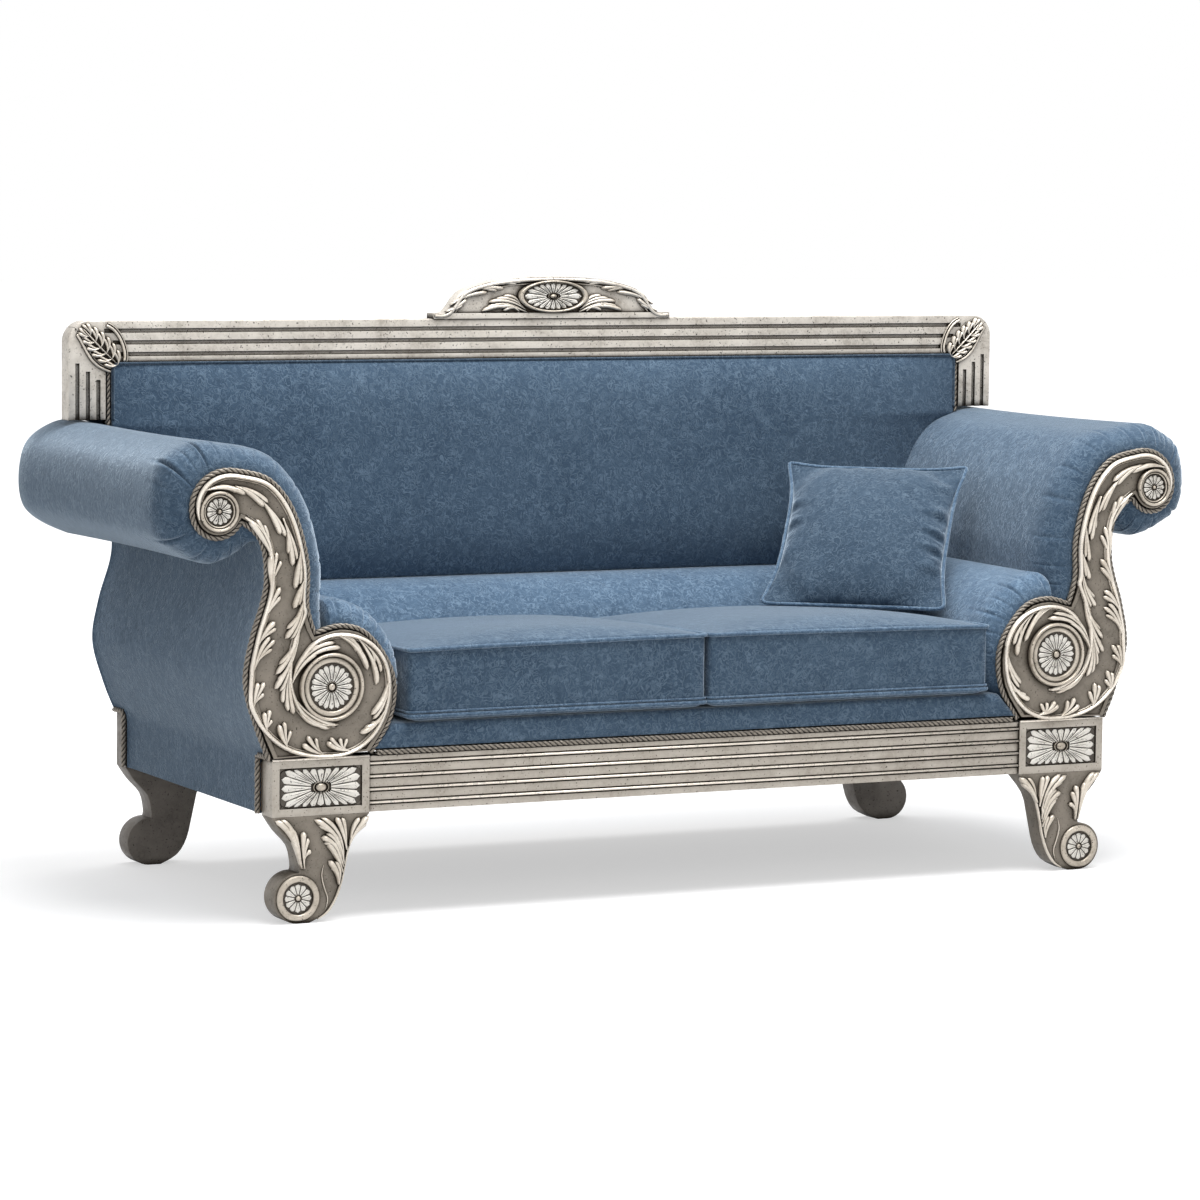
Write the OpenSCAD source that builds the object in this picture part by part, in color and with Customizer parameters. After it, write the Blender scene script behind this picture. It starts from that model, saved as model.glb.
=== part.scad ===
// Three-seater scroll-arm sofa: a silvered, carved wooden frame with velvet upholstery.
// Sizes are in millimetres. X runs along the sofa, Y to the back and Z up.
// The origin lies on the floor, under the middle of the overall box.

/* [Overall] */
// Depth from the front faces of the arm facings to the backs of the rear legs
sofa_depth = 811; // [790:1:860]
// Distance between the outer faces of the two front blocks
base_width = 1800; // [1740:10:2000]
// Height of the top edge of the back frame
back_height = 1086; // [1060:1:1150]
// How far the carving stands proud of the front faces
carving_proud = 10; // [8:1:14]

/* [Legs and blocks] */
// Height of the legs, up to the underside of the blocks
leg_height = 199; // [190:1:215]
// Thickness of each leg and block, front to back
leg_thick = 50; // [44:1:56]
// Width of each block above a leg
block_width = 195; // [185:1:205]
// Height of each block, which is the height of the seat frame
block_height = 105; // [98:1:112]
// Radius of the scroll foot
foot_radius = 47; // [44:1:50]
// Distance of the foot scroll's centre from the outer face of the block
foot_inset = 52; // [48:1:56]
// Depth of the sunk panel in the face of each front block
panel_depth = 5; // [3:1:8]
// Width of the flat border round the sunk panel
panel_border = 15; // [12:1:18]
// Number of petals of the rosette in the block
block_petals = 24; // [16:4:32]
// Diameter of the dowels between the legs and the blocks
dowel_diameter = 12; // [8:1:14]
// Length of the dowels
dowel_length = 60; // [40:2:80]

/* [Seat frame] */
// Thickness of the front rail
front_rail_thick = 40; // [34:1:46]
// How far the front rail's face lies behind the block faces
front_rail_set = 4; // [2:1:8]
// Number of thin beads along the front rail
rail_beads = 4; // [3:1:5]
// Height of one thin bead with its two grooves
rail_bead_height = 9; // [7:1:11]
// Thickness of the side and rear rails
inner_rail_thick = 30; // [25:1:36]
// Height of the side and rear rails
inner_rail_height = 90; // [80:1:96]
// Width of the stretcher between the front and rear rails
stretcher_width = 34; // [28:1:50]
// Height of the stretcher
stretcher_height = 50; // [40:1:60]
// Leg length of the triangular corner blocks
corner_block_size = 60; // [50:1:70]

/* [Seat suspension] */
// Number of zigzag springs
spring_count = 7; // [5:1:9]
// Wire thickness of the zigzag springs
spring_wire = 4; // [3:0.5:5]
// Width of the zigzag
spring_width = 50; // [40:1:60]
// Number of bends of each spring
spring_bends = 22; // [16:2:28]
// Thickness of the hessian over the springs
hessian_thick = 2; // [1:0.5:3]
// Height of the padded seat platform
platform_height = 58; // [50:1:64]
// Thickness of the dust cover under the seat
dust_cover_thick = 2; // [1:0.5:3]

/* [Arms] */
// Distance of the upper scroll's centre outside the outer face of the block
scroll_out = 107; // [98:1:114]
// Height of the upper scroll's centre
scroll_height = 766; // [750:1:780]
// Radius of the rope round the upper scroll
scroll_radius = 49; // [45:1:52]
// Distance of the lower roll's centre inside the outer face of the block
roll_in = 116; // [110:1:122]
// Height of the lower roll's centre
roll_height = 437; // [428:1:446]
// Thickness of the carved facing
facing_thick = 22; // [18:1:26]
// Thickness of the timber boards at the front and back of each arm
arm_board_thick = 26; // [20:1:30]
// Height of the raised rim along the edge of the facing
rim_proud = 3; // [2:1:4]
// Width of the raised rim
rim_width = 8; // [6:1:10]
// Radius of the padded roll at the top of the arm
arm_roll_radius = 112; // [108:1:116]
// Thickness of the padding on the inner face of the arm
arm_pad_thick = 48; // [42:1:54]
// Share of that thickness that is left at the back of the seat
arm_pad_back_share = 0.2; // [0.15:0.05:0.4]
// Depth of the rounded front edge of the arm padding
arm_pad_round = 52; // [40:1:60]
// Radius of the padded roll along each side of the seat
side_roll_radius = 154; // [150:1:156]
// Thickness of the cloth-covered outer side panel
side_panel_thick = 8; // [6:1:12]
// Thickness of the rail inside the upper scroll
scroll_rail_size = 46; // [36:1:54]
// Diameter of the rope trim
rope_diameter = 12; // [10:0.5:14]

/* [Back] */
// Depth from the front of the back frame to the backs of the rear legs
back_depth = 116; // [106:1:131]
// Thickness of the back frame
back_frame_thick = 40; // [34:1:46]
// How far the back frame reaches past the blocks on each side
back_overhang = 143; // [130:1:150]
// Width of the stiles of the back frame
stile_width = 77; // [70:1:84]
// Width of the top rail of the back frame
top_rail_width = 82; // [76:1:90]
// Radius of the outer corners of the back frame
back_corner_radius = 42; // [30:1:50]
// Width of the flutes in the back frame
flute_width = 8; // [6:1:10]
// Depth of the flutes
flute_depth = 4; // [2:1:6]
// Crown of the padded back
back_crown = 20; // [10:1:30]
// Radius of the lumbar roll
lumbar_radius = 150; // [140:1:156]
// Height of the lumbar roll's centre
lumbar_height = 416; // [405:1:425]
// Thickness of the battens that join the back frame to its posts
batten_thick = 24; // [18:1:28]
// Width of the back posts
post_width = 60; // [50:1:66]
// Thickness of the board of the outside back
outside_back_thick = 5; // [4:1:8]

/* [Crest] */
// Width of the crest at its base
crest_width = 530; // [480:5:580]
// Height of the crest above the back frame
crest_height = 84; // [76:1:92]
// Thickness of the crest
crest_thick = 34; // [28:1:38]
// Half width of the oval rosette in the crest
crest_oval_x = 79; // [70:1:86]
// Half height of the oval rosette
crest_oval_z = 33; // [29:1:34]

/* [Seat cushions and pillow] */
// Gap between the two seat cushions
cushion_gap = 3; // [2:0.5:6]
// Height of the cushion's top welt above the platform
cushion_welt_height = 140; // [120:1:160]
// Height of the crown above the top welt
cushion_crown = 22; // [14:1:30]
// How far the cushions stand in front of the block faces
cushion_overhang = 5; // [0:1:8]
// Edge length of the throw pillow
pillow_size = 382; // [360:1:400]
// Thickness of the throw pillow at its middle
pillow_thick = 130; // [110:1:150]
// How far the pillow leans back
pillow_lean = 44.6; // [40:0.1:48]
// How far the pillow is turned in the corner of the seat
pillow_turn = -40.3; // [-44:0.1:-36]

/* [Fits] */
// Gap between parts that are fitted together
fit_gap = 0.3; // [0.2:0.05:0.5]

/* [Hidden] */
$fn = 64;

y_front = -(sofa_depth - carving_proud) / 2;
y_rear = y_front + sofa_depth;
block_out = base_width / 2;
block_in = block_out - block_width;
frame_top = leg_height + block_height;
foot_x = block_out - foot_inset;
rear_leg_y = y_rear - leg_thick;
rope_radius = rope_diameter / 2 - fit_gap / 2;
rope_y = y_front + rope_diameter / 2;
scroll_centre = [block_out + scroll_out, scroll_height];
roll_centre = [block_out - roll_in, roll_height];
back_y = y_rear - back_depth;
back_rear_y = back_y + back_frame_thick;
back_half = block_out + back_overhang;

wood = "#c8c0b4";
dark_wood = "#8a7f72";
velvet = "#51719a";
rope_colour = "#5c5248";

// Turns the right-hand piece into the left-hand one where side is -1
module on_side(side) {
    if (side < 0) mirror([1, 0, 0]) children();
    else children();
}

// Stands an outline drawn in X and Z up at the depth y
module upright(y, thick) {
    translate([0, y + thick, 0]) rotate([90, 0, 0]) linear_extrude(thick) children();
}

// One point of a smooth curve through b and c, with their neighbours a and d
function curve_point(a, b, c, d, t) =
    0.5 * (2 * b + (c - a) * t + (2 * a - 5 * b + 4 * c - d) * t * t
        + (3 * b - a - 3 * c + d) * t * t * t);

// Smooth curve through the points p, with n steps between two points
function smooth(p, n) = [
    for (i = [0 : len(p) - 2]) for (k = [0 : n - 1])
        curve_point(p[max(i - 1, 0)], p[i], p[i + 1], p[min(i + 2, len(p) - 1)], k / n),
    p[len(p) - 1]
];

function unit(v) = v / max(norm(v), 0.0001);

// Points of an open line, each moved sideways by d, to the right of its direction
function moved(p, d) = [
    for (i = [0 : len(p) - 1])
        let (t = unit(p[min(i + 1, len(p) - 1)] - p[max(i - 1, 0)]))
            p[i] + d * [t[1], -t[0]]
];

// Point between the lower roll and the upper scroll, w up the arm, moved by u and v
function arm_point(w, u, v) = roll_centre * (1 - w) + scroll_centre * w + [u, v];
function reversed(p) = [for (i = [len(p) - 1 : -1 : 0]) p[i]];
function without_last(p) = [for (i = [0 : len(p) - 2]) p[i]];

// The rope line of the arm: outer side, upper scroll, inner side and lower roll
curve_steps = 3;
scroll_end = 114;
scroll_growth = 31;
function scroll_point(a) =
    scroll_centre + (scroll_radius + scroll_growth * pow(max(a, 0) / scroll_end, 1.5))
        * [cos(a), sin(a)];
outer_line = smooth([
    [block_out + 3, frame_top + 2], arm_point(0, 144, -71), arm_point(0, 167, 13),
    arm_point(0.3, 87, -4), arm_point(0.6, -7, -9), arm_point(1, -87, -57),
    scroll_point(-158)
], curve_steps);
scroll_line = [for (a = [-140 : 16 : scroll_end - 10]) scroll_point(a)];
inner_line = smooth([
    scroll_point(scroll_end), arm_point(1, -101, 54), arm_point(1, -149, -6),
    arm_point(0.6, -87, 31), arm_point(0.3, -20, 52), arm_point(0.3, -35, 0)
], curve_steps);
lower_line = smooth([
    arm_point(0.3, -35, 0), arm_point(0, -19, 111), arm_point(0, -75, 93),
    arm_point(0, -125, 20), arm_point(0, -122, -59), [block_in - 3, frame_top + 7]
], curve_steps);
rope_line = concat(outer_line, scroll_line, without_last(inner_line), lower_line);
facing_line = moved(rope_line, -rope_diameter / 2);

// Outline of one petal that points along X, from inner to outer, width wide at its end
function petal_outline(inner, outer, width) = concat(
    [[inner, -width * 0.1]],
    [for (a = [-80 : 32 : 80])
        [outer - width / 2 + width / 2 * cos(a), width / 2 * sin(a)]],
    [[inner, width * 0.1]]
);

// Round medallion in the XZ plane, with its back at y = 0: ring, dish, petals and bead
module medallion(ring_radius, petal_radius, count, proud, dish) {
    ring_width = ring_radius - petal_radius - 2;
    petal_width = 2 * petal_radius * sin(180 / count) * 0.86;
    rotate([90, 0, 0]) {
        rotate_extrude() {
            square([ring_radius, dish]);
            intersection() {
                translate([ring_radius - ring_width / 2, 0])
                    scale(proud / ring_width * 2) circle(d = ring_width);
                translate([ring_radius - ring_width, 0]) square([ring_width, proud]);
            }
        }
        linear_extrude(proud * 0.6) for (i = [0 : count - 1])
            rotate(i * 360 / count)
                polygon(petal_outline(petal_radius * 0.25, petal_radius, petal_width));
        cylinder(r = petal_radius * 0.17, h = proud * 0.8);
    }
}

// Outline of a leg below its block: a sabre leg that ends in a scroll foot
leg_outer = smooth([
    [block_out, leg_height], [block_out - 20, leg_height - 29],
    [block_out - 47, leg_height - 59], [foot_x - 3, 2 * foot_radius + 13],
    [foot_x - 2, 2 * foot_radius]
], curve_steps);
foot_round = [for (a = [82 : -8 : -90]) [foot_x, foot_radius] + foot_radius * [cos(a), sin(a)]];
leg_inner = smooth([
    [foot_x - 23, 0], [foot_x - 58, 18], [foot_x - 79, foot_radius + 4],
    [block_in + 51, leg_height - 94], [block_in + 37, leg_height - 45],
    [block_in, leg_height]
], curve_steps);

leg_line = concat(leg_outer, foot_round, leg_inner);

// Places of the two dowels above a front leg
dowel_places = [block_in + block_width * 0.32, block_in + block_width * 0.68];
module at_dowels() {
    for (x = dowel_places)
        translate([x, y_front + leg_thick / 2, leg_height]) children();
}
module dowel_holes() {
    at_dowels() translate([0, 0, -dowel_length / 2])
        cylinder(d = dowel_diameter + fit_gap, h = dowel_length);
}

foot_sink = 3;
module front_leg(side) {
    color(wood) on_side(side) difference() {
        upright(y_front, leg_thick) polygon(leg_line);
        translate([foot_x, y_front, foot_radius]) rotate([90, 0, 0])
            translate([0, 0, -foot_sink]) cylinder(r = foot_radius - 7, h = 2 * foot_sink);
        dowel_holes();
    }
}

module foot_medallion(side) {
    color(wood) on_side(side) translate([foot_x, y_front + foot_sink, foot_radius])
        medallion(foot_radius - 7 - fit_gap, foot_radius - 17, 12, foot_sink + 5, 2);
}

module rear_leg(side) {
    color(dark_wood) on_side(side) upright(rear_leg_y, leg_thick)
        polygon(concat([[block_out, frame_top]], leg_line, [[block_in, frame_top]]));
}

module front_block(side) {
    color(wood) on_side(side) difference() {
        translate([block_in, y_front, leg_height])
            cube([block_width, leg_thick, block_height]);
        translate([block_in + panel_border, y_front - panel_depth, leg_height + panel_border])
            cube([block_width - 2 * panel_border, 2 * panel_depth,
                block_height - 2 * panel_border]);
        dowel_holes();
    }
}

// Rectangular rosette: petals that run out to the border of the sunk panel
module block_rosette(side) {
    half_w = block_width / 2 - panel_border - 2;
    half_h = block_height / 2 - panel_border - 2;
    plate = 1.5;
    bead_radius = 9;
    color(wood) on_side(side)
        translate([block_in + block_width / 2, y_front + panel_depth, leg_height + block_height / 2])
        rotate([90, 0, 0]) {
            translate([-half_w, -half_h, 0]) cube([2 * half_w, 2 * half_h, plate]);
            linear_extrude(panel_depth) for (i = [0 : block_petals - 1]) {
                a = (i + 0.5) * 360 / block_petals;
                reach = min(half_w / max(abs(cos(a)), 0.01), half_h / max(abs(sin(a)), 0.01));
                rotate(a) polygon(petal_outline(bead_radius + 3, reach - 3,
                    2 * (reach - 3) * sin(180 / block_petals) * 0.7));
            }
            cylinder(r = bead_radius, h = panel_depth + 2);
        }
}

module leg_dowels() {
    color(dark_wood) for (side = [-1, 1]) on_side(side) at_dowels()
        translate([0, 0, -dowel_length / 2 + fit_gap])
            cylinder(d = dowel_diameter, h = dowel_length - 2 * fit_gap);
}

// Seat frame
inner_rail_z = leg_height + 6;
front_rail_back = y_front + front_rail_set + front_rail_thick;
side_rail_out = block_out - 4;
rear_rail_y = rear_leg_y + 8;
module front_rail() {
    groove = rail_bead_height * 0.28;
    color(wood) translate([-block_in, 0, 0]) rotate([90, 0, 90])
        linear_extrude(2 * block_in) difference() {
            translate([y_front + front_rail_set, leg_height + 1])
                square([front_rail_thick, block_height - 1]);
            for (i = [0 : rail_beads - 1]) for (up = [-1, 1])
                translate([y_front + front_rail_set - 1, leg_height
                    + block_height * (i + 0.73) / (rail_beads + 0.29)
                    + up * (rail_bead_height - groove) / 2 - groove / 2])
                    square([4, groove]);
        }
}

module side_rail(side) {
    color(dark_wood) on_side(side)
        translate([side_rail_out - inner_rail_thick, y_front + leg_thick, inner_rail_z])
            cube([inner_rail_thick, rear_leg_y - y_front - leg_thick, inner_rail_height]);
}

module rear_rail() {
    color(dark_wood) translate([-block_in, rear_rail_y, inner_rail_z])
        cube([2 * block_in, inner_rail_thick, inner_rail_height]);
}

module seat_stretcher() {
    color(dark_wood) translate([-stretcher_width / 2, front_rail_back, inner_rail_z])
        cube([stretcher_width, rear_rail_y - front_rail_back, stretcher_height]);
}

// Triangular blocks glued into the corners between the side rails and the leg blocks
module corner_blocks() {
    corner_x = side_rail_out - inner_rail_thick;
    color(dark_wood) for (side = [-1, 1]) on_side(side)
        for (corner = [[y_front + leg_thick, 1], [rear_leg_y, -1]])
            translate([0, 0, inner_rail_z + 10]) linear_extrude(inner_rail_height - 20)
                polygon([[corner_x, corner[0]], [corner_x - corner_block_size, corner[0]],
                    [corner_x, corner[0] + corner[1] * corner_block_size]]);
}

// Zigzag springs from the front rail to the rear rail
clip_size = 9;
spring_top = frame_top - hessian_thick - 2 * fit_gap;
spring_y = front_rail_back + clip_size;
spring_length = rear_rail_y - clip_size - spring_y;
spring_step = 2 * (block_in - 120) / (spring_count - 1);
module at_springs() {
    for (i = [0 : spring_count - 1])
        translate([(i - (spring_count - 1) / 2) * spring_step, 0, 0]) children();
}

module seat_springs() {
    pitch = spring_length / spring_bends;
    half = spring_wire / 2 * norm([spring_width, pitch]) / pitch;
    line = [for (k = [0 : spring_bends])
        [(k % 2 == 0 ? -1 : 1) * (spring_width / 2 - half), spring_y + k * pitch]];
    color("silver") at_springs() translate([0, 0, spring_top - spring_wire])
        linear_extrude(spring_wire)
            polygon(concat([for (p = line) p + [half, 0]],
                reversed([for (p = line) p - [half, 0]])));
}

module spring_clips() {
    color("gray") at_springs() for (y = [front_rail_back, rear_rail_y - clip_size])
        translate([-spring_width / 2 - 3, y, spring_top - clip_size])
            cube([spring_width + 6, clip_size, clip_size]);
}

module hessian_sheet() {
    color("tan") translate([-block_in + 60, front_rail_back + fit_gap, spring_top + fit_gap])
        cube([2 * (block_in - 60), rear_rail_y - front_rail_back - 2 * fit_gap, hessian_thick]);
}

// Cylinder of the padded roll along each side of the seat, grown by a little
side_roll_centre = [roll_centre[0], roll_centre[1] + 7];
module side_roll_cylinder(grow) {
    translate([side_roll_centre[0], y_rear, side_roll_centre[1]]) rotate([90, 0, 0])
        cylinder(r = side_roll_radius + grow, h = sofa_depth + 50);
}

platform_top = frame_top + fit_gap + platform_height;
rope_room = 2.6 * rope_diameter;
module seat_platform() {
    platform_y = y_front + front_rail_set;
    color(velvet) difference() {
        translate([-block_in, platform_y, frame_top + fit_gap])
            cube([2 * block_in, back_rear_y + 20 - platform_y, platform_height]);
        for (side = [-1, 1]) on_side(side) side_roll_cylinder(fit_gap);
        translate([-block_in - 1, y_front - 1, frame_top]) {
            cube([2 * block_in + 2, rope_diameter + 1.5, rope_diameter + fit_gap]);
            for (x = [0, 2 * block_in + 2 - rope_room])
                translate([x, 0, 0]) cube([rope_room, rope_diameter + 1.5, rope_room]);
        }
    }
}

module dust_cover() {
    cover_y = y_front + leg_thick + fit_gap;
    color("black") translate([-side_rail_out, cover_y, inner_rail_z - dust_cover_thick - fit_gap])
        cube([2 * side_rail_out, rear_leg_y - fit_gap - cover_y, dust_cover_thick]);
}

module rail_rope() {
    half = block_in - 1.3 * rope_diameter;
    color(rope_colour) translate([-half, rope_y, frame_top + rope_diameter / 2 + fit_gap / 2])
        rotate([0, 90, 0]) cylinder(r = rope_radius, h = 2 * half);
}

// Tube of eight sides along a path that lies in a plane square to the direction across
module tube(path, radius, across) {
    sides = 8;
    last = len(path) - 1;
    points = [for (i = [0 : last])
        let (t = unit(path[min(i + 1, last)] - path[max(i - 1, 0)]), n = cross(t, across))
            for (k = [0 : sides - 1])
                path[i] + radius * (across * cos(k * 360 / sides) + n * sin(k * 360 / sides))];
    polyhedron(points, concat(
        [[for (k = [0 : sides - 1]) k]],
        [for (i = [0 : last - 1]) for (k = [0 : sides - 1])
            let (a = i * sides, b = (k + 1) % sides) [a + k, a + sides + k, a + sides + b, a + b]],
        [[for (k = [sides - 1 : -1 : 0]) last * sides + k]]
    ), convexity = 10);
}

// Rope round the facing, and the short ropes along the cloth beside each block
module arm_rope(side) {
    edge_x = block_out + rope_radius;
    drop = rope_diameter / 2;
    function side_path(y, turn, end) = [
        [edge_x, y, leg_height + 2], [edge_x, y, frame_top - drop],
        [edge_x, y + turn * drop * 0.5, frame_top + drop * 0.5],
        [edge_x, y + turn * drop * 1.5, frame_top + drop], [edge_x, end, frame_top + drop]
    ];
    color(rope_colour) on_side(side) {
        tube([for (p = rope_line) [p[0], rope_y, p[1]]], rope_radius, [0, 1, 0]);
        tube(side_path(y_front + leg_thick + drop, -1, y_front + rope_diameter + 1), rope_radius,
            [1, 0, 0]);
        tube(side_path(rear_leg_y - drop, 1, y_rear - 3), rope_radius, [1, 0, 0]);
    }
}

module arm_facing(side) {
    color(wood) on_side(side) {
        upright(y_front, facing_thick) polygon(facing_line);
        upright(y_front - rim_proud, rim_proud) difference() {
            polygon(facing_line);
            polygon(moved(rope_line, -rope_diameter / 2 - rim_width));
        }
    }
}

module scroll_medallion(side) {
    color(wood) on_side(side) translate([scroll_centre[0], y_front, scroll_centre[1]])
        medallion(scroll_radius - 16, scroll_radius - 25, 12, carving_proud, 2);
}

module roll_rosette(side) {
    color(wood) on_side(side) translate([roll_centre[0], y_front, roll_centre[1]])
        medallion(65, 45, 20, carving_proud, 2);
}

// Timber boards that carry the padding at the front and back of the arm
arm_board_y = y_front + facing_thick;
module arm_front_board(side) {
    color(dark_wood) on_side(side) upright(arm_board_y, arm_board_thick)
        polygon(moved(rope_line, -rope_diameter / 2 - 1));
}

module arm_back_board(side) {
    color(velvet) on_side(side) upright(y_rear - arm_board_thick, arm_board_thick)
        polygon(facing_line);
}

// Rails from board to board: in the scroll, in the waist of the arm and at the seat
module arm_rails(side) {
    rail_y = arm_board_y + arm_board_thick;
    length = y_rear - arm_board_thick - rail_y;
    waist = arm_point(0.45, -35, 15);
    low = arm_point(0, 100, -20);
    color(dark_wood) on_side(side) {
        translate([scroll_centre[0], rail_y + length, scroll_centre[1]]) rotate([90, 0, 0])
            cylinder(d = scroll_rail_size, h = length);
        for (p = [waist, low]) translate([p[0], rail_y, p[1]])
            cube([25, length, 50]);
    }
}

// Padding of the arm: it starts under the roll, goes over it and down to the seat
arm_roll_centre = scroll_centre + [-1, 13];
arm_top = arm_roll_centre[1] + arm_roll_radius;
function arm_roll_point(a) = arm_roll_centre + arm_roll_radius * [cos(a), sin(a)];
pad_inside = smooth([
    arm_point(1, -84.5, -53.5), scroll_point(-158), scroll_point(-122), scroll_point(-90),
    scroll_point(-30), scroll_point(30), scroll_point(75), scroll_point(114),
    arm_point(1, -101, 54), arm_point(1, -149, -6), arm_point(0.6, -87, 31),
    arm_point(0.3, -20, 52), arm_point(0.3, -35, 4)
], curve_steps);
pad_outside = smooth([
    arm_point(1, -77, -61), arm_roll_point(-128), arm_roll_point(-108), arm_roll_point(-85),
    arm_roll_point(-30), arm_roll_point(30), arm_roll_point(72), arm_roll_point(108),
    arm_point(1, -101, 54) + arm_pad_thick * [-0.5, 0.87],
    arm_point(1, -149, -6) + arm_pad_thick * [-0.9, 0.44],
    arm_point(0.6, -87, 31) + arm_pad_thick * [-1, 0.05],
    arm_point(0.3, -20, 52) + arm_pad_thick * [-1, 0.1],
    arm_point(0.3, -35, 4) + arm_pad_thick * [-0.68, 0.14]
], curve_steps);
pad_start_y = y_front + rope_diameter + fit_gap;
pad_full_y = pad_start_y + arm_pad_round;
pad_end_y = y_rear - 3;
pad_end_round = 18;

// Share of the padding's thickness at point i and depth y. The inner face thins to the back
function pad_share(i, y) =
    let (inner = min(max((i / curve_steps - 7) / 3, 0), 1),
        back = min(max((y - pad_full_y) / (back_y - pad_full_y), 0), 1))
            1 - inner * back * (1 - arm_pad_back_share);
function pad_ring(y, swell) = concat(
    [for (i = [0 : len(pad_inside) - 1])
        let (s = max(swell, 0.1) * pad_share(i, y), p = pad_inside[i] * (1 - s) + pad_outside[i] * s)
            [p[0], y, p[1]]],
    [for (p = reversed(pad_inside)) [p[0], y, p[1]]]
);
pad_rings = concat(
    [for (a = [8 : 20.5 : 90]) pad_ring(pad_start_y + arm_pad_round * (1 - cos(a)), sin(a))],
    [pad_ring((pad_full_y + back_y) / 2, 1), pad_ring(back_y, 1)],
    [for (a = [90 : -30 : 30]) pad_ring(pad_end_y - pad_end_round * (1 - cos(a)), sin(a))]
);

module arm_pad(side) {
    m = len(pad_rings[0]);
    half = m / 2;
    last = (len(pad_rings) - 1) * m;
    function cap(start, turn) = [for (i = [0 : half - 2])
        let (f = [start + i, start + i + 1, start + m - 2 - i, start + m - 1 - i])
            turn ? reversed(f) : f];
    color(velvet) on_side(side) polyhedron(
        [for (ring = pad_rings) each ring],
        concat(
            cap(0, true), cap(last, false),
            [for (j = [0 : len(pad_rings) - 2]) for (i = [0 : m - 1])
                let (a = j * m, b = (i + 1) % m) each [
                    [a + i, a + b, a + m + b], [a + i, a + m + b, a + m + i]]]
        ), convexity = 10);
}

// Padded roll along the side of the seat, below the arm's inner face
module side_roll(side) {
    edge = 44;
    roll_end = back_y - fit_gap;
    seam_gap = 3.2;
    flare = atan(arm_pad_thick * 0.5 / (back_y - pad_full_y));
    color(velvet) on_side(side) difference() {
        translate([side_roll_centre[0], pad_start_y, side_roll_centre[1]]) rotate([-90, 0, 0])
            rotate_extrude() {
                square([side_roll_radius - edge, roll_end - pad_start_y]);
                translate([0, edge]) square([side_roll_radius, roll_end - pad_start_y - edge]);
                translate([side_roll_radius - edge, edge]) circle(edge);
            }
        translate([block_in - 100, y_front - 1, 0])
            cube([2 * side_roll_radius, sofa_depth, frame_top + fit_gap]);
        translate([arm_point(0.3, -35, 4)[0] - arm_pad_thick * 0.68 - seam_gap, y_front - 1, 0])
            rotate([0, 0, -flare]) cube([2 * side_roll_radius, sofa_depth, back_height]);
        upright(y_front - 1, facing_thick + arm_board_thick + 1 + fit_gap)
            polygon(moved(rope_line, -rope_diameter / 2 + fit_gap));
    }
}

// Outer side of the arm, a board covered with cloth that hangs down over the side rail
side_panel_proud = 5;
module side_panel(side) {
    side_line = [for (i = [0 : 5 * curve_steps]) outer_line[i]];
    bottom = leg_height + 1;
    notch = frame_top + rope_diameter + fit_gap;
    color(velvet) on_side(side) difference() {
        upright(pad_start_y, y_rear - 3 - pad_start_y) polygon(concat(
            [[side_rail_out + fit_gap, bottom]],
            moved(side_line, side_panel_proud - side_panel_thick),
            reversed(moved(side_line, side_panel_proud)),
            [[block_out + side_panel_proud, bottom]]));
        translate([block_out - 100, y_front - 1, 0])
            cube([200, leg_thick + rope_diameter + fit_gap + 1, notch]);
        translate([block_out - 100, rear_leg_y - rope_diameter - fit_gap, 0])
            cube([200, leg_thick + rope_diameter + 1, notch]);
    }
}

// Back frame: a top rail mitred to two short stiles, with stopped flutes
frame_in = back_half - stile_width;
rail_low = back_height - top_rail_width;
stile_low = arm_top + 1.5;
module back_frame_outline() {
    r = back_corner_radius;
    difference() {
        translate([-back_half, stile_low]) square([2 * back_half, back_height - stile_low]);
        for (side = [-1, 1]) mirror([side < 0 ? 1 : 0, 0])
            translate([back_half - r, back_height - r]) difference() {
                square([r + 1, r + 1]);
                circle(r);
            }
    }
}

flute_places = [0.24, 0.52, 0.8];
module flutes(length, width) {
    for (f = flute_places) translate([0, f * width - flute_width / 2])
        square([length - f * width * 0.75, flute_width]);
}

module back_top_rail() {
    mitre = [[-back_half - 1, back_height + 1], [back_half + 1, back_height + 1],
        [back_half, back_height], [frame_in, rail_low], [-frame_in, rail_low],
        [-back_half, back_height]];
    color(wood) difference() {
        upright(back_y, back_frame_thick) intersection() {
            back_frame_outline();
            polygon(mitre);
        }
        upright(back_y - 1, flute_depth + 1) for (side = [0, 1]) mirror([side, 0])
            translate([0, back_height]) mirror([0, 1]) flutes(frame_in + 18, top_rail_width);
    }
}

module back_stile(side) {
    color(wood) on_side(side) difference() {
        upright(back_y, back_frame_thick) intersection() {
            back_frame_outline();
            polygon([[back_half, back_height - fit_gap], [back_half + 1, back_height],
                [back_half + 1, stile_low - 1], [frame_in, stile_low - 1],
                [frame_in, rail_low - fit_gap]]);
        }
        upright(back_y - 1, flute_depth + 1)
            translate([back_half, stile_low - 1]) rotate(90)
                flutes(rail_low - stile_low + 14, stile_width);
    }
}

// Leaf spray that runs from the inner to the outer corner of the back frame
module corner_leaf(side) {
    leaf = norm([stile_width, top_rail_width]);
    lean = atan2(top_rail_width, stile_width);
    color(wood) on_side(side) upright(back_y - 4, 4)
        translate([frame_in + 5, rail_low + 5]) rotate(lean) {
            polygon(petal_outline(0, leaf * 0.78, leaf * 0.17));
            for (i = [1 : 3]) for (up = [-1, 1])
                translate([leaf * 0.15 * i, 0]) rotate(up * 32)
                    polygon(petal_outline(0, leaf * (0.42 - 0.06 * i), leaf * 0.13));
        }
}

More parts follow.
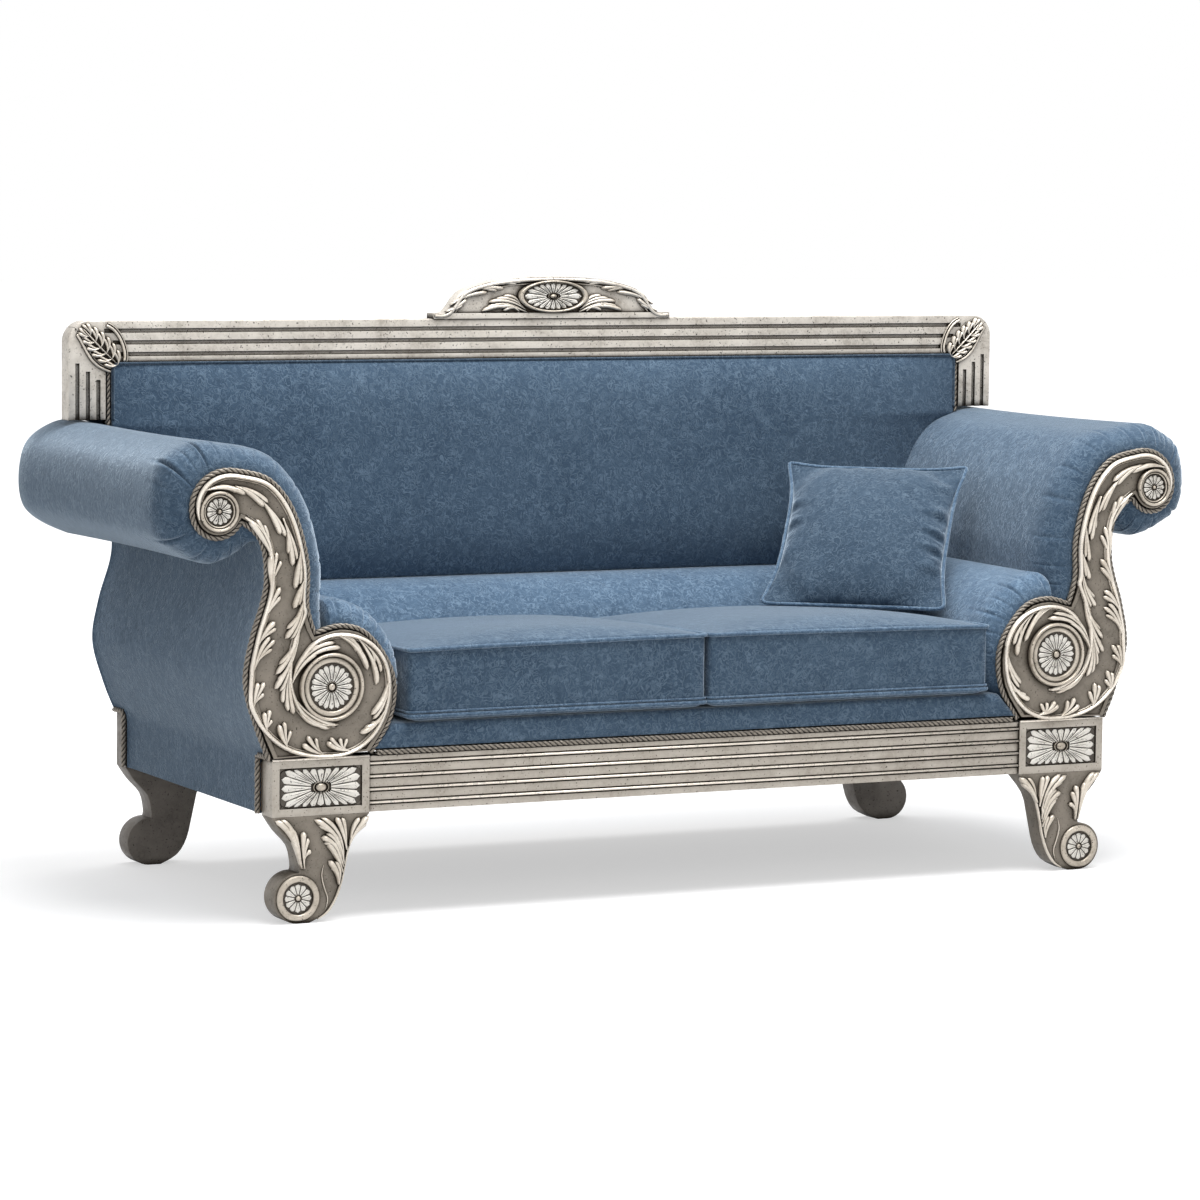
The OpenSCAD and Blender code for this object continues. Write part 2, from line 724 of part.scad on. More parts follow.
// Crest on the top rail: swept shoulders and an oval rosette
crest_half = crest_width / 2;
crest_side = smooth([
    [crest_half, 11], [crest_half - 30, 14], [crest_half - 62, crest_height * 0.62],
    [crest_half - 110, crest_height * 0.84], [crest_half * 0.3, crest_height * 0.97],
    [0, crest_height]
], curve_steps);
module crest_outline(inset) {
    polygon(concat(
        [[-crest_half + inset, 0], [crest_half - inset, 0]],
        moved(crest_side, -inset),
        [for (p = reversed(without_last(moved(crest_side, -inset)))) [-p[0], p[1]]]));
}

crest_moulding = 11;
module crest() {
    crest_y = back_y + 3;
    color(wood) translate([0, 0, back_height]) {
        upright(crest_y, crest_thick) crest_outline(0);
        upright(crest_y - 3, 3) difference() {
            crest_outline(0);
            crest_outline(5);
        }
        upright(crest_y - 6, crest_thick) translate([-crest_half - 2, 0])
            square([crest_width + 4, crest_moulding]);
    }
}

function oval(a, b, count) = [for (i = [0 : count - 1])
    [a * cos(i * 360 / count), b * sin(i * 360 / count)]];
module crest_rosette() {
    rosette_z = back_height + crest_moulding + crest_oval_z + 0.5;
    oval_steps = 40;
    petals = 20;
    color(wood) translate([0, 0, rosette_z]) {
        upright(back_y, 3) polygon(oval(crest_oval_x, crest_oval_z, oval_steps));
        upright(back_y - 5, 5) difference() {
            polygon(oval(crest_oval_x, crest_oval_z, oval_steps));
            polygon(oval(crest_oval_x - 9, crest_oval_z - 6, oval_steps));
        }
        upright(back_y - 3, 3) for (i = [0 : petals - 1]) {
            a = (i + 0.5) * 360 / petals;
            reach = norm([(crest_oval_x - 17) * cos(a), (crest_oval_z - 11) * sin(a)]);
            tip = atan2((crest_oval_z - 11) * sin(a), (crest_oval_x - 17) * cos(a));
            rotate(tip) polygon(petal_outline(7, reach, 4));
        }
        upright(back_y - 6, 6) circle(6);
    }
}

module back_rope() {
    color(rope_colour) for (side = [-1, 1]) on_side(side)
        translate([frame_in - rope_diameter / 2 - fit_gap / 2, back_y + rope_radius, stile_low])
            cylinder(r = rope_radius, h = rail_low - fit_gap - stile_low);
}

// Timber behind the back: posts on the rear rail, battens and the frame of the pad
batten_rear = back_rear_y + batten_thick;
post_x = block_in - 115;
post_top = back_height - 22;
module back_posts() {
    foot_z = inner_rail_z + inner_rail_height;
    depth = y_rear - outside_back_thick - fit_gap - batten_rear;
    color(dark_wood) for (side = [-1, 1]) on_side(side) difference() {
        translate([post_x, batten_rear, foot_z]) cube([post_width, depth, post_top - foot_z]);
        translate([post_x - 1, batten_rear - 1, foot_z - 1])
            cube([post_width + 2, rear_rail_y - batten_rear + 1, frame_top + 2 - foot_z]);
    }
}

back_box_half = frame_in + 40;
module back_battens() {
    batten_half = back_box_half - outside_back_thick - fit_gap;
    color(dark_wood) for (z = [[stile_low + 6, 50], [rail_low + 6, post_top - rail_low - 6]])
        translate([-batten_half, back_rear_y, z[0]])
            cube([2 * batten_half, batten_thick, z[1]]);
}

pad_half = frame_in - rope_diameter - 2.5 * fit_gap;
pad_low = lumbar_height + sqrt(pow(lumbar_radius, 2) - 36) + 2 * fit_gap;
pad_back_y = back_y + 8;
module back_pad_frame() {
    bar = 50;
    color(dark_wood) upright(pad_back_y + fit_gap, back_rear_y - pad_back_y - fit_gap) {
        translate([-pad_half, rail_low - bar]) square([2 * pad_half, bar - fit_gap]);
        translate([-post_x - post_width, pad_low + 4])
            square([2 * (post_x + post_width), bar]);
        for (side = [-1, 1]) mirror([side < 0 ? 1 : 0, 0]) {
            translate([post_x, pad_low + 4]) square([post_width, rail_low - pad_low - 6]);
            translate([pad_half - bar, stile_low + 4]) square([bar, rail_low - stile_low - 6]);
        }
    }
}

// Section of both arms as it is at the back, grown by a little, with all beyond it
module arm_section(grow) {
    first = 7 * curve_steps;
    back = [for (i = [first : len(pad_inside) - 1])
        let (s = pad_share(i, y_rear)) pad_inside[i] * (1 - s) + pad_outside[i] * s];
    for (side = [-1, 1]) mirror([side < 0 ? 1 : 0, 0])
        polygon(concat(
            [[back_half + 150, arm_top + grow], [back[0][0], arm_top + grow]],
            moved(back, grow), moved(lower_line, grow),
            [[block_in, frame_top], [back_half + 150, frame_top]]));
}

// Half width of the padded back at the height z: between the ropes, the arms and the rolls
arm_gap = 5;
pad_sides = [for (i = [7 * curve_steps + 1 : len(pad_inside) - 1])
    let (s = pad_share(i, y_rear), p = pad_inside[i] * (1 - s) + pad_outside[i] * s) [p[1], p[0]]];
function roll_half(z) = let (h = max(z - side_roll_centre[1], 0), r = side_roll_radius + 1)
    h < r ? side_roll_centre[0] - sqrt(r * r - h * h) : back_half;
function pad_width(z) = min(pad_half, roll_half(z),
    z > pad_sides[0][0] ? pad_half : lookup(z, pad_sides)) - (z > arm_top ? 0 : arm_gap);

// Padded back: a crowned form that lies in the frame and runs down between the arms
module back_pad() {
    nx = 20;
    nz = 24;
    height = rail_low - fit_gap - pad_low;
    heights = [for (j = [0 : nz]) pad_low + height * (1 - cos(180 * j / nz)) / 2];
    row = nx + 1;
    b = row * (nz + 1);
    points = concat(
        [for (j = [0 : nz]) for (i = [0 : nx])
            let (u = sin(90 * (2 * i / nx - 1)), v = cos(180 * j / nz),
                crown = back_crown * (1 - pow(abs(u), 6)) * (1 - pow(abs(v), 6)))
                [u * pad_width(heights[j]), back_y - 2 - crown, heights[j]]],
        [for (z = heights) each [[-pad_width(z), pad_back_y, z], [pad_width(z), pad_back_y, z]]]
    );
    color(velvet) polyhedron(points, concat(
        [for (j = [0 : nz - 1]) for (i = [0 : nx - 1]) let (a = j * row + i) each [
            [a, a + row, a + row + 1], [a, a + row + 1, a + 1]]],
        [for (j = [0 : nz - 1]) let (p = j * row, q = b + 2 * j) each [
            [p, q, q + 2], [p, q + 2, p + row],
            [q, q + 1, q + 3], [q, q + 3, q + 2],
            [p + nx, p + nx + row, q + 3], [p + nx, q + 3, q + 1]]],
        [for (i = [0 : nx - 1]) [i, i + 1, i < nx / 2 ? b : b + 1]],
        [[nx / 2, b + 1, b]],
        [for (i = [0 : nx - 1]) let (t = nz * row)
            [t + i + 1, t + i, i < nx / 2 ? b + 2 * nz : b + 2 * nz + 1]],
        [[nz * row + nx / 2, b + 2 * nz, b + 2 * nz + 1]]
    ), convexity = 6);
}

module lumbar_roll() {
    color(velvet) difference() {
        translate([-roll_centre[0], back_y + 5, lumbar_height]) rotate([0, 90, 0])
            cylinder(r = lumbar_radius, h = 2 * roll_centre[0]);
        translate([-block_out, back_y - fit_gap, 0]) cube([base_width, 2 * back_depth, back_height]);
        translate([-block_out, y_front, 0]) cube([base_width, sofa_depth, platform_top + fit_gap]);
        for (side = [-1, 1]) on_side(side) side_roll_cylinder(fit_gap);
    }
}

// Cloth-covered board over the whole back, boxed in behind the back frame
module outside_back() {
    half = back_box_half;
    wall = outside_back_thick;
    top = post_top + wall + fit_gap;
    color(velvet) {
        upright(y_rear - wall, wall) difference() {
            union() {
                translate([-half, frame_top + 1]) square([2 * half, top - frame_top - 1]);
                translate([-block_in + fit_gap, leg_height + 1])
                    square([2 * (block_in - fit_gap), block_height + 1]);
            }
            arm_section(1);
        }
        upright(back_rear_y + fit_gap, y_rear - wall / 2 - back_rear_y - fit_gap) difference() {
            translate([-half, stile_low + 1]) square([2 * half, top - stile_low - 1]);
            translate([-half + wall, stile_low]) square([2 * (half - wall), top - wall - stile_low]);
        }
    }
}

// Seat cushion: boxed sides between two welts, a crowned top and a slack belly
cushion_out = side_roll_centre[0] - side_roll_radius - 1.5;
cushion_in = cushion_gap / 2;
cushion_back = back_y + 5 - lumbar_radius - 2;
cushion_front = y_front - cushion_overhang;
cushion_low = platform_top + fit_gap;
welt_low = cushion_low + 12;
welt_high = platform_top + cushion_welt_height;
module seat_cushion(side) {
    centre = [(cushion_in + cushion_out) / 2, (cushion_front + cushion_back) / 2];
    half = [(cushion_out - cushion_in) / 2, (cushion_back - cushion_front) / 2];
    corner = 12;
    corner_steps = 3;
    waist = 5;
    side_steps = 6;
    // Corner q of the outline, counted anticlockwise, at the angle a round its own centre
    function corner_point(q, a) = [
        centre[0] + (q % 3 == 0 ? 1 : -1) * (half[0] - corner) + corner * cos(a),
        centre[1] + (q < 2 ? 1 : -1) * (half[1] - corner) + corner * sin(a)
    ];
    // Point of the side after corner q, drawn in between the corners
    function side_point(q, t) =
        let (a = 90 * (q + 1), pull = waist * 4 * t * (1 - t))
            corner_point(q, a) * (1 - t) + corner_point((q + 1) % 4, a) * t
                - pull * [cos(a), sin(a)];
    outline = [for (q = [0 : 3]) each concat(
        [for (k = [0 : corner_steps]) corner_point(q, 90 * (q + k / corner_steps))],
        [for (k = [1 : side_steps - 1]) side_point(q, k / side_steps)])];
    n = len(outline);
    belly = welt_low - cushion_low;
    // Each ring is a share of the outline and a height
    rings = concat(
        [for (s = [0.4, 0.8]) [s, cushion_low]],
        [[0.93, cushion_low + belly * 0.35], [1, welt_low]],
        [[0.994, (welt_low + welt_high) / 2], [1, welt_high]],
        [for (s = [0.93, 0.8, 0.62, 0.4, 0.2])
            [s, welt_high + cushion_crown * (1 - pow(s, 2.2))]]
    );
    last = len(rings) - 1;
    color(velvet) on_side(side) polyhedron(
        concat(
            [for (r = rings) for (p = outline) [
                centre[0] + (p[0] - centre[0]) * r[0],
                centre[1] + (p[1] - centre[1]) * r[0], r[1]]],
            [[centre[0], centre[1], cushion_low],
                [centre[0], centre[1], welt_high + cushion_crown]]),
        concat(
            [for (i = [0 : n - 1]) [n * (last + 1), i, (i + 1) % n]],
            [for (j = [0 : last - 1]) for (i = [0 : n - 1])
                let (a = j * n, b = (i + 1) % n) each [
                    [a + i, a + n + i, a + n + b], [a + i, a + n + b, a + b]]],
            [for (i = [0 : n - 1])
                [n * (last + 1) + 1, last * n + (i + 1) % n, last * n + i]]
        ), convexity = 4);
}

// Throw pillow: four drawn-out corners and a full middle, leant into the corner of the seat
pillow_centre = [block_in - 149, back_y - 325, platform_top + 298.4];
module throw_pillow() {
    n = 14;
    half = pillow_size / 2;
    edge = 3;
    draw_in = 0.055;
    function pillow_point(i, j, face) =
        let (u = sin(90 * (2 * i / n - 1)), v = sin(90 * (2 * j / n - 1)))
            [half * u * (1 - draw_in * (1 - v * v)),
                face * (edge + (pillow_thick / 2 - edge) * pow((1 - u * u) * (1 - v * v), 0.5)),
                half * v * (1 - draw_in * (1 - u * u))];
    row = n + 1;
    b = row * row;
    ring = concat(
        [for (i = [0 : n - 1]) i], [for (j = [0 : n - 1]) j * row + n],
        [for (i = [n : -1 : 1]) n * row + i], [for (j = [n : -1 : 1]) j * row]);
    m = len(ring);
    color(velvet) translate(pillow_centre) rotate([0, 0, pillow_turn]) rotate([-pillow_lean, 0, 0])
        polyhedron(
            [for (face = [-1, 1]) for (j = [0 : n]) for (i = [0 : n]) pillow_point(i, j, face)],
            concat(
                [for (j = [0 : n - 1]) for (i = [0 : n - 1]) let (a = j * row + i) each [
                    [a, a + row, a + row + 1], [a, a + row + 1, a + 1],
                    [b + a, b + a + row + 1, b + a + row], [b + a, b + a + 1, b + a + row + 1]]],
                [for (k = [0 : m - 1]) let (p = ring[k], q = ring[(k + 1) % m]) each [
                    [p, q, b + q], [p, b + q, b + p]]]
            ), convexity = 4);
}

front_leg(-1);  // front_leg_left
front_leg(1);  // front_leg_right
rear_leg(-1);  // rear_leg_left
rear_leg(1);  // rear_leg_right
front_block(-1);  // front_block_left
front_block(1);  // front_block_right
block_rosette(-1);  // block_rosette_left
block_rosette(1);  // block_rosette_right
foot_medallion(-1);  // foot_medallion_left
foot_medallion(1);  // foot_medallion_right
leg_dowels();
front_rail();
side_rail(-1);  // side_rail_left
side_rail(1);  // side_rail_right
rear_rail();
seat_stretcher();
corner_blocks();
seat_springs();
spring_clips();
hessian_sheet();
seat_platform();
dust_cover();
rail_rope();
arm_facing(-1);  // arm_facing_left
arm_facing(1);  // arm_facing_right
scroll_medallion(-1);  // scroll_medallion_left
scroll_medallion(1);  // scroll_medallion_right
roll_rosette(-1);  // roll_rosette_left
roll_rosette(1);  // roll_rosette_right
arm_rope(-1);  // arm_rope_left
arm_rope(1);  // arm_rope_right
arm_front_board(-1);  // arm_front_board_left
arm_front_board(1);  // arm_front_board_right
arm_back_board(-1);  // arm_back_board_left
arm_back_board(1);  // arm_back_board_right
arm_rails(-1);  // arm_rails_left
arm_rails(1);  // arm_rails_right
arm_pad(-1);  // arm_pad_left
arm_pad(1);  // arm_pad_right
side_roll(-1);  // side_roll_left
side_roll(1);  // side_roll_right
side_panel(-1);  // side_panel_left
side_panel(1);  // side_panel_right
back_top_rail();
back_stile(-1);  // back_stile_left
back_stile(1);  // back_stile_right
corner_leaf(-1);  // corner_leaf_left
corner_leaf(1);  // corner_leaf_right
crest();
crest_rosette();
back_rope();
back_posts();
back_battens();
back_pad_frame();
back_pad();
lumbar_roll();
outside_back();
seat_cushion(-1);  // seat_cushion_left
seat_cushion(1);  // seat_cushion_right
throw_pillow();
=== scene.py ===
import math

import bmesh
import bpy
import numpy as np
from mathutils import Matrix, Vector
from mathutils.bvhtree import BVHTree


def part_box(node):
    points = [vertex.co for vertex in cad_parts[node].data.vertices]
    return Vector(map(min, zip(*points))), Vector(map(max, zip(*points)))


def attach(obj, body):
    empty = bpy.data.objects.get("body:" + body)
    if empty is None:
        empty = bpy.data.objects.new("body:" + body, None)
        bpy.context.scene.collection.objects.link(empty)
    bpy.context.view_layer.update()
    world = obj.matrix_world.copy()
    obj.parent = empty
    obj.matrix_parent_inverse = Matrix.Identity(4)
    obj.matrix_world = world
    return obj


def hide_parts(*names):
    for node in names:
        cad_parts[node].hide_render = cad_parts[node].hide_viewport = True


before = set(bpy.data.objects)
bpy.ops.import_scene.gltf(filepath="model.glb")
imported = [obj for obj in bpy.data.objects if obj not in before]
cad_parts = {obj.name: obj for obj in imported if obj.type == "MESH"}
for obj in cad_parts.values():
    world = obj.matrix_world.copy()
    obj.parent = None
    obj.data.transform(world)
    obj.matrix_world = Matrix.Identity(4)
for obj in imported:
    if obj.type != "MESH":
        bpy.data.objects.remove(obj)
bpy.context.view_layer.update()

SIDES = (("left", -1), ("right", 1))

# Front blocks, front rail and front legs: beech, carved, laid with silver leaf and toned with a
# brown-grey patina that stays in the grooves. The blocks stand on the legs with two dowels each.
# Their sizes give the front plane, the top of the seat frame and the foot of each arm.
block_low, block_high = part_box("front_block_right")
front_y = block_low.y
block_in, block_out = block_low.x, block_high.x
leg_top, frame_top = block_low.z, block_high.z
patina_brown = (0.022, 0.017, 0.012, 1)


def set_sockets(tree, node, sockets):
    """Sets each of the node's named sockets to a value, or links it to an output."""
    for key, value in sockets.items():
        if isinstance(value, bpy.types.NodeSocket):
            tree.links.new(value, node.inputs[key])
        else:
            node.inputs[key].default_value = value


def put(tree, kind, sockets=None, **settings):
    """A new node with its settings and its sockets."""
    made = tree.nodes.new(kind)
    for name, value in settings.items():
        setattr(made, name, value)
    set_sockets(tree, made, sockets or {})
    return made


def maths(tree, way, *values):
    return put(tree, "ShaderNodeMath", dict(enumerate(values)), operation=way).outputs[0]


def noise(tree, place, scale, detail, twist=0.0):
    sockets = {"Vector": place, "Scale": scale, "Detail": detail, "Distortion": twist}
    return put(tree, "ShaderNodeTexNoise", sockets).outputs["Fac"]


def ramp(tree, value, *stops):
    """A colour ramp. A stop's colour may be one number, which gives a grey."""
    made = put(tree, "ShaderNodeValToRGB", {"Fac": value})
    steps = made.color_ramp.elements
    for i, (place, colour) in enumerate(stops):
        if i > 1:
            steps.new(place)
        steps[i].position = place
        steps[i].color = colour if isinstance(colour, tuple) else (colour, colour, colour, 1)
    return made.outputs["Color"]


def blended(tree, share, low, high, way="MIX"):
    sockets = {"Factor": share, 6: low, 7: high}
    return put(tree, "ShaderNodeMix", sockets, data_type="RGBA", blend_type=way).outputs[2]


def bumped(tree, height, strength, distance, base=None):
    sockets = {"Height": height, "Strength": strength, "Distance": distance}
    if base:
        sockets["Normal"] = base
    return put(tree, "ShaderNodeBump", sockets).outputs["Normal"]


def open_faces(tree, reach, *stops):
    """A ramp from hollows narrower than the reach, at its first stop, to open faces."""
    hollow = put(tree, "ShaderNodeAmbientOcclusion", {"Distance": reach}, samples=8)
    return ramp(tree, hollow.outputs["AO"], *stops)


def new_finish(name):
    """A new material with its tree, its surface shader and the place on the piece."""
    made = bpy.data.materials.new(name)
    made.use_nodes = True
    tree = made.node_tree
    return made, tree, tree.nodes["Principled BSDF"], put(tree, "ShaderNodeTexCoord").outputs["Object"]


def silver_leaf(name, raised, ground, reach, shine, metal, grooves=(0.42, 0.90), pitted=True):
    """Silver leaf, worn to the ground colour in clouds and brown in hollows up to the reach."""
    made, tree, leaf, place = new_finish(name)
    clouds = ramp(tree, noise(tree, place, 17, 6, 0.5), (0.34, 0), (0.66, 1))
    worn = ramp(tree, noise(tree, place, 95, 8, 1.0), (0.36, 0), (0.60, 0.55))
    base = blended(tree, worn, blended(tree, clouds, ground, raised), raised)
    if pitted:
        pits = ramp(tree, noise(tree, place, 260, 3, 0.2), (0.30, 1), (0.37, 0))
        base = blended(tree, pits, base, patina_brown)
    open_face = open_faces(tree, reach, (grooves[0], 0), (grooves[1], 1))
    set_sockets(tree, leaf, {
        "Base Color": blended(tree, open_face, patina_brown, base),
        # Less reflection in the hollows: painted shade.
        "Specular IOR Level": ramp(tree, open_face, (0, 0.04), (1, 0.5)),
        "Roughness": ramp(tree, noise(tree, place, 60, 4), (0.3, shine - 0.08), (0.75, shine + 0.16)),
        "Metallic": metal,
        "Normal": bumped(tree, noise(tree, place, 220, 5, 0.3), 0.4, 0.0007)})
    return made


carved_silver = silver_leaf("carved_silver", (0.58, 0.52, 0.44, 1), (0.31, 0.27, 0.215, 1),
                            0.009, 0.34, 0.5, (0.54, 0.95))
# A lighter copy of the silver leaf for the raised leaves: partly bare silver, partly a painted highlight.
acanthus_highlit_silver = silver_leaf("acanthus_highlit_silver", (0.80, 0.735, 0.645, 1), (0.52, 0.455, 0.37, 1),
                              0.0065, 0.33, 0.4, (0.46, 0.92), False)
# A lighter copy of the silver leaf for the petals: partly bare silver, partly a painted highlight.
petal_highlit_silver = silver_leaf("petal_highlit_silver", (0.86, 0.83, 0.77, 1), (0.74, 0.70, 0.63, 1),
                           0.0045, 0.40, 0.1, (0.40, 0.86))
# A lighter copy of the silver leaf for the beads: partly polish, partly a painted highlight.
polished_highlit_silver = silver_leaf("polished_highlit_silver", (0.84, 0.775, 0.685, 1), (0.70, 0.635, 0.55, 1),
                              0.0014, 0.28, 0.45, (0.30, 0.80), False)
flat_silver = silver_leaf("flat_silver", (0.47, 0.43, 0.375, 1), (0.32, 0.285, 0.24, 1),
                          0.012, 0.38, 0.4, (0.55, 0.92))
frame_silver = silver_leaf("frame_silver", (0.68, 0.635, 0.57, 1), (0.40, 0.36, 0.31, 1),
                           0.02, 0.38, 0.4, (0.66, 0.94))
# A dark copy of the silver leaf for the dish behind the petals: patina, and painted shade between them.
recess_patina_and_shade = silver_leaf("recess_patina_and_shade", (0.10, 0.085, 0.068, 1), (0.05, 0.042, 0.033, 1),
                            0.01, 0.5, 0.2)
ground_silver = silver_leaf("ground_silver", (0.235, 0.205, 0.168, 1), (0.14, 0.122, 0.098, 1),
                            0.015, 0.42, 0.4, (0.58, 0.96))


def new_object(name, data):
    made = bpy.data.objects.new(name, data)
    bpy.context.scene.collection.objects.link(made)
    return made


def worked_mesh(piece):
    """The piece's mesh as its modifiers leave it."""
    bpy.context.view_layer.update()
    return bpy.data.meshes.new_from_object(piece.evaluated_get(bpy.context.evaluated_depsgraph_get()))


def finish_node(node, material):
    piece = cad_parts[node]
    piece.data.materials.clear()
    piece.data.materials.append(material)


def eased_copy(node, material, bevel):
    """A copy of a frame node with its sharp edges rubbed round, in place of the node."""
    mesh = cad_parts[node].data.copy()
    mesh.name = node + "_carved"
    shape = bmesh.new()
    shape.from_mesh(mesh)
    bmesh.ops.remove_doubles(shape, verts=shape.verts, dist=0.00002)
    bmesh.ops.dissolve_limit(shape, angle_limit=math.radians(1), verts=shape.verts, edges=shape.edges)
    bmesh.ops.recalc_face_normals(shape, faces=shape.faces)
    sharp = [e for e in shape.edges if len(e.link_faces) == 2 and e.calc_face_angle(0) > math.radians(35)]
    bmesh.ops.bevel(shape, geom=sharp, offset=bevel, segments=2, profile=0.6, affect="EDGES",
                    clamp_overlap=True)
    bmesh.ops.triangulate(shape, faces=[f for f in shape.faces if len(f.verts) > 4])
    shape.to_mesh(mesh)
    shape.free()
    mesh.materials.clear()
    mesh.materials.append(material)
    mesh.shade_smooth()
    mesh.set_sharp_from_angle(angle=math.radians(40))
    piece = new_object(node + "_carved", mesh)
    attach(piece, "root")
    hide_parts(node)


for side, sign in SIDES:
    eased_copy("front_block_" + side, flat_silver, 0.0011)
    eased_copy("front_leg_" + side, ground_silver, 0.0011)
eased_copy("front_rail", flat_silver, 0.0007)
rail_low, rail_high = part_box("front_rail")
bead_count = 4
bead_spacing = (frame_top - leg_top) / (bead_count + 0.29)
rail_bead_heights = [leg_top + bead_spacing * (i + 0.73) for i in range(bead_count)]

# Rear legs: plain beech under a dark patina, with pale rubbed edges, each in one piece with its
# block. Their faces are smooth and carry no carving.
dark_patina = silver_leaf("dark_patina", (0.17, 0.15, 0.13, 1), (0.10, 0.088, 0.075, 1), 0.02, 0.5, 0.25)
for side, sign in SIDES:
    eased_copy("rear_leg_" + side, dark_patina, 0.0014)

# Hidden timber: planed beech rails, stretcher, corner blocks, dowels, posts and boards, glued
# and screwed inside the upholstery. Its grain runs along each piece.


def raw_beech():
    made, tree, wood, place = new_finish("raw_beech")
    stretched = put(tree, "ShaderNodeMapping", {"Vector": place, "Scale": (1.5, 14, 14)}).outputs[0]
    grain = noise(tree, stretched, 6, 8, 1.2)
    set_sockets(tree, wood, {
        "Base Color": ramp(tree, grain, (0.3, (0.30, 0.18, 0.09, 1)), (0.7, (0.56, 0.39, 0.23, 1))),
        "Roughness": 0.62,
        "Normal": bumped(tree, grain, 0.3, 0.0008)})
    return made


beech = raw_beech()
for node in ("leg_dowels", "side_rail_left", "side_rail_right", "rear_rail", "seat_stretcher",
             "corner_blocks", "arm_front_board_left", "arm_front_board_right", "arm_rails_left",
             "arm_rails_right", "back_posts", "back_battens", "back_pad_frame"):
    finish_node(node, beech)

# Seat springs, clips, hessian and dust cover: drawn wire springs held in steel clips, a coarse
# hessian over them, and a thin black lining stapled under the frame.


def plain_weave(name, colour, thread):
    made, tree, cloth, place = new_finish(name)
    heights = []
    for turn in (0, math.pi / 2):
        turned = put(tree, "ShaderNodeMapping", {"Vector": place, "Rotation": (0, 0, turn)}).outputs[0]
        sockets = {"Vector": turned, "Scale": 0.314 / thread, "Distortion": 0.6}
        heights.append(put(tree, "ShaderNodeTexWave", sockets).outputs["Fac"])
    weave = blended(tree, 0.5, heights[0], heights[1])
    dark = tuple(c * 0.45 for c in colour[:3]) + (1,)
    set_sockets(tree, cloth, {
        "Base Color": ramp(tree, weave, (0.25, dark), (0.7, colour)),
        "Roughness": 0.9,
        "Normal": bumped(tree, weave, 0.6, thread * 0.3)})
    return made


def drawn_steel():
    made, tree, wire, place = new_finish("drawn_steel")
    streaks = noise(tree, place, 300, 3)
    set_sockets(tree, wire, {
        "Base Color": ramp(tree, streaks, (0.3, 0.35), (0.7, 0.6)),
        "Roughness": ramp(tree, streaks, (0.3, 0.45), (0.7, 0.25)),
        "Metallic": 1.0})
    return made


steel = drawn_steel()
finish_node("seat_springs", steel)
finish_node("spring_clips", steel)
finish_node("hessian_sheet", plain_weave("hessian", (0.46, 0.35, 0.20, 1), 0.0016))
finish_node("dust_cover", plain_weave("black_lining", (0.02, 0.02, 0.022, 1), 0.0008))

# Carved medallions and rosettes: turned and carved beech, silvered, and let into the foot of
# each front leg, the two scrolls of each arm, each front block and the crest. Petals stand
# round a bead, inside a ring where the piece is round or oval.


def new_piece(name, points, faces, material, angle=None):
    mesh = bpy.data.meshes.new(name)
    mesh.from_pydata([tuple(p) for p in points], [], faces)
    shape = bmesh.new()
    shape.from_mesh(mesh)
    bmesh.ops.remove_doubles(shape, verts=shape.verts, dist=1e-6)
    bmesh.ops.recalc_face_normals(shape, faces=shape.faces)
    shape.to_mesh(mesh)
    shape.free()
    mesh.shade_smooth()
    if angle:
        mesh.set_sharp_from_angle(angle=math.radians(angle))
    mesh.materials.append(material)
    return new_object(name, mesh)


class Pile:
    """Points and faces of one carved piece, made of closed lofts that sink into each other."""

    def __init__(self):
        self.points, self.faces = [], []

    def loft(self, rings, ends=True):
        start, n = len(self.points), len(rings[0])
        for ring in rings:
            self.points.extend(tuple(p) for p in ring)
        for j in range(len(rings) - 1):
            for i in range(n):
                a, b = start + j * n, (i + 1) % n
                self.faces.append((a + i, a + b, a + n + b, a + n + i))
        if ends:
            self.faces.append(tuple(range(start + n - 1, start - 1, -1)))
            last = start + (len(rings) - 1) * n
            self.faces.append(tuple(range(last, last + n)))

    def piece(self, name, material, angle=None):
        return new_piece(name, self.points, self.faces, material, angle)


def lofted(name, rings, material, angle=None):
    """A piece made of one closed loft."""
    pile = Pile()
    pile.loft(rings)
    return pile.piece(name, material, angle)


def curve_through(name, paths, closed=False):
    """A curve with straight steps through each path, for a node tree to work on."""
    line = bpy.data.curves.new(name, "CURVE")
    line.dimensions = "3D"
    for path in paths:
        spline = line.splines.new("POLY")
        spline.points.add(len(path) - 1)
        for point, place in zip(spline.points, path):
            point.co = (*place, 1)
        spline.use_cyclic_u = closed
    return new_object(name, line)


def new_tree(name, sockets):
    tree = bpy.data.node_groups.new(name, "GeometryNodeTree")
    tree.interface.new_socket("Geometry", in_out="INPUT", socket_type="NodeSocketGeometry")
    for label, kind in sockets:
        tree.interface.new_socket(label, in_out="INPUT", socket_type="NodeSocket" + kind)
    tree.interface.new_socket("Geometry", in_out="OUTPUT", socket_type="NodeSocketGeometry")
    return tree


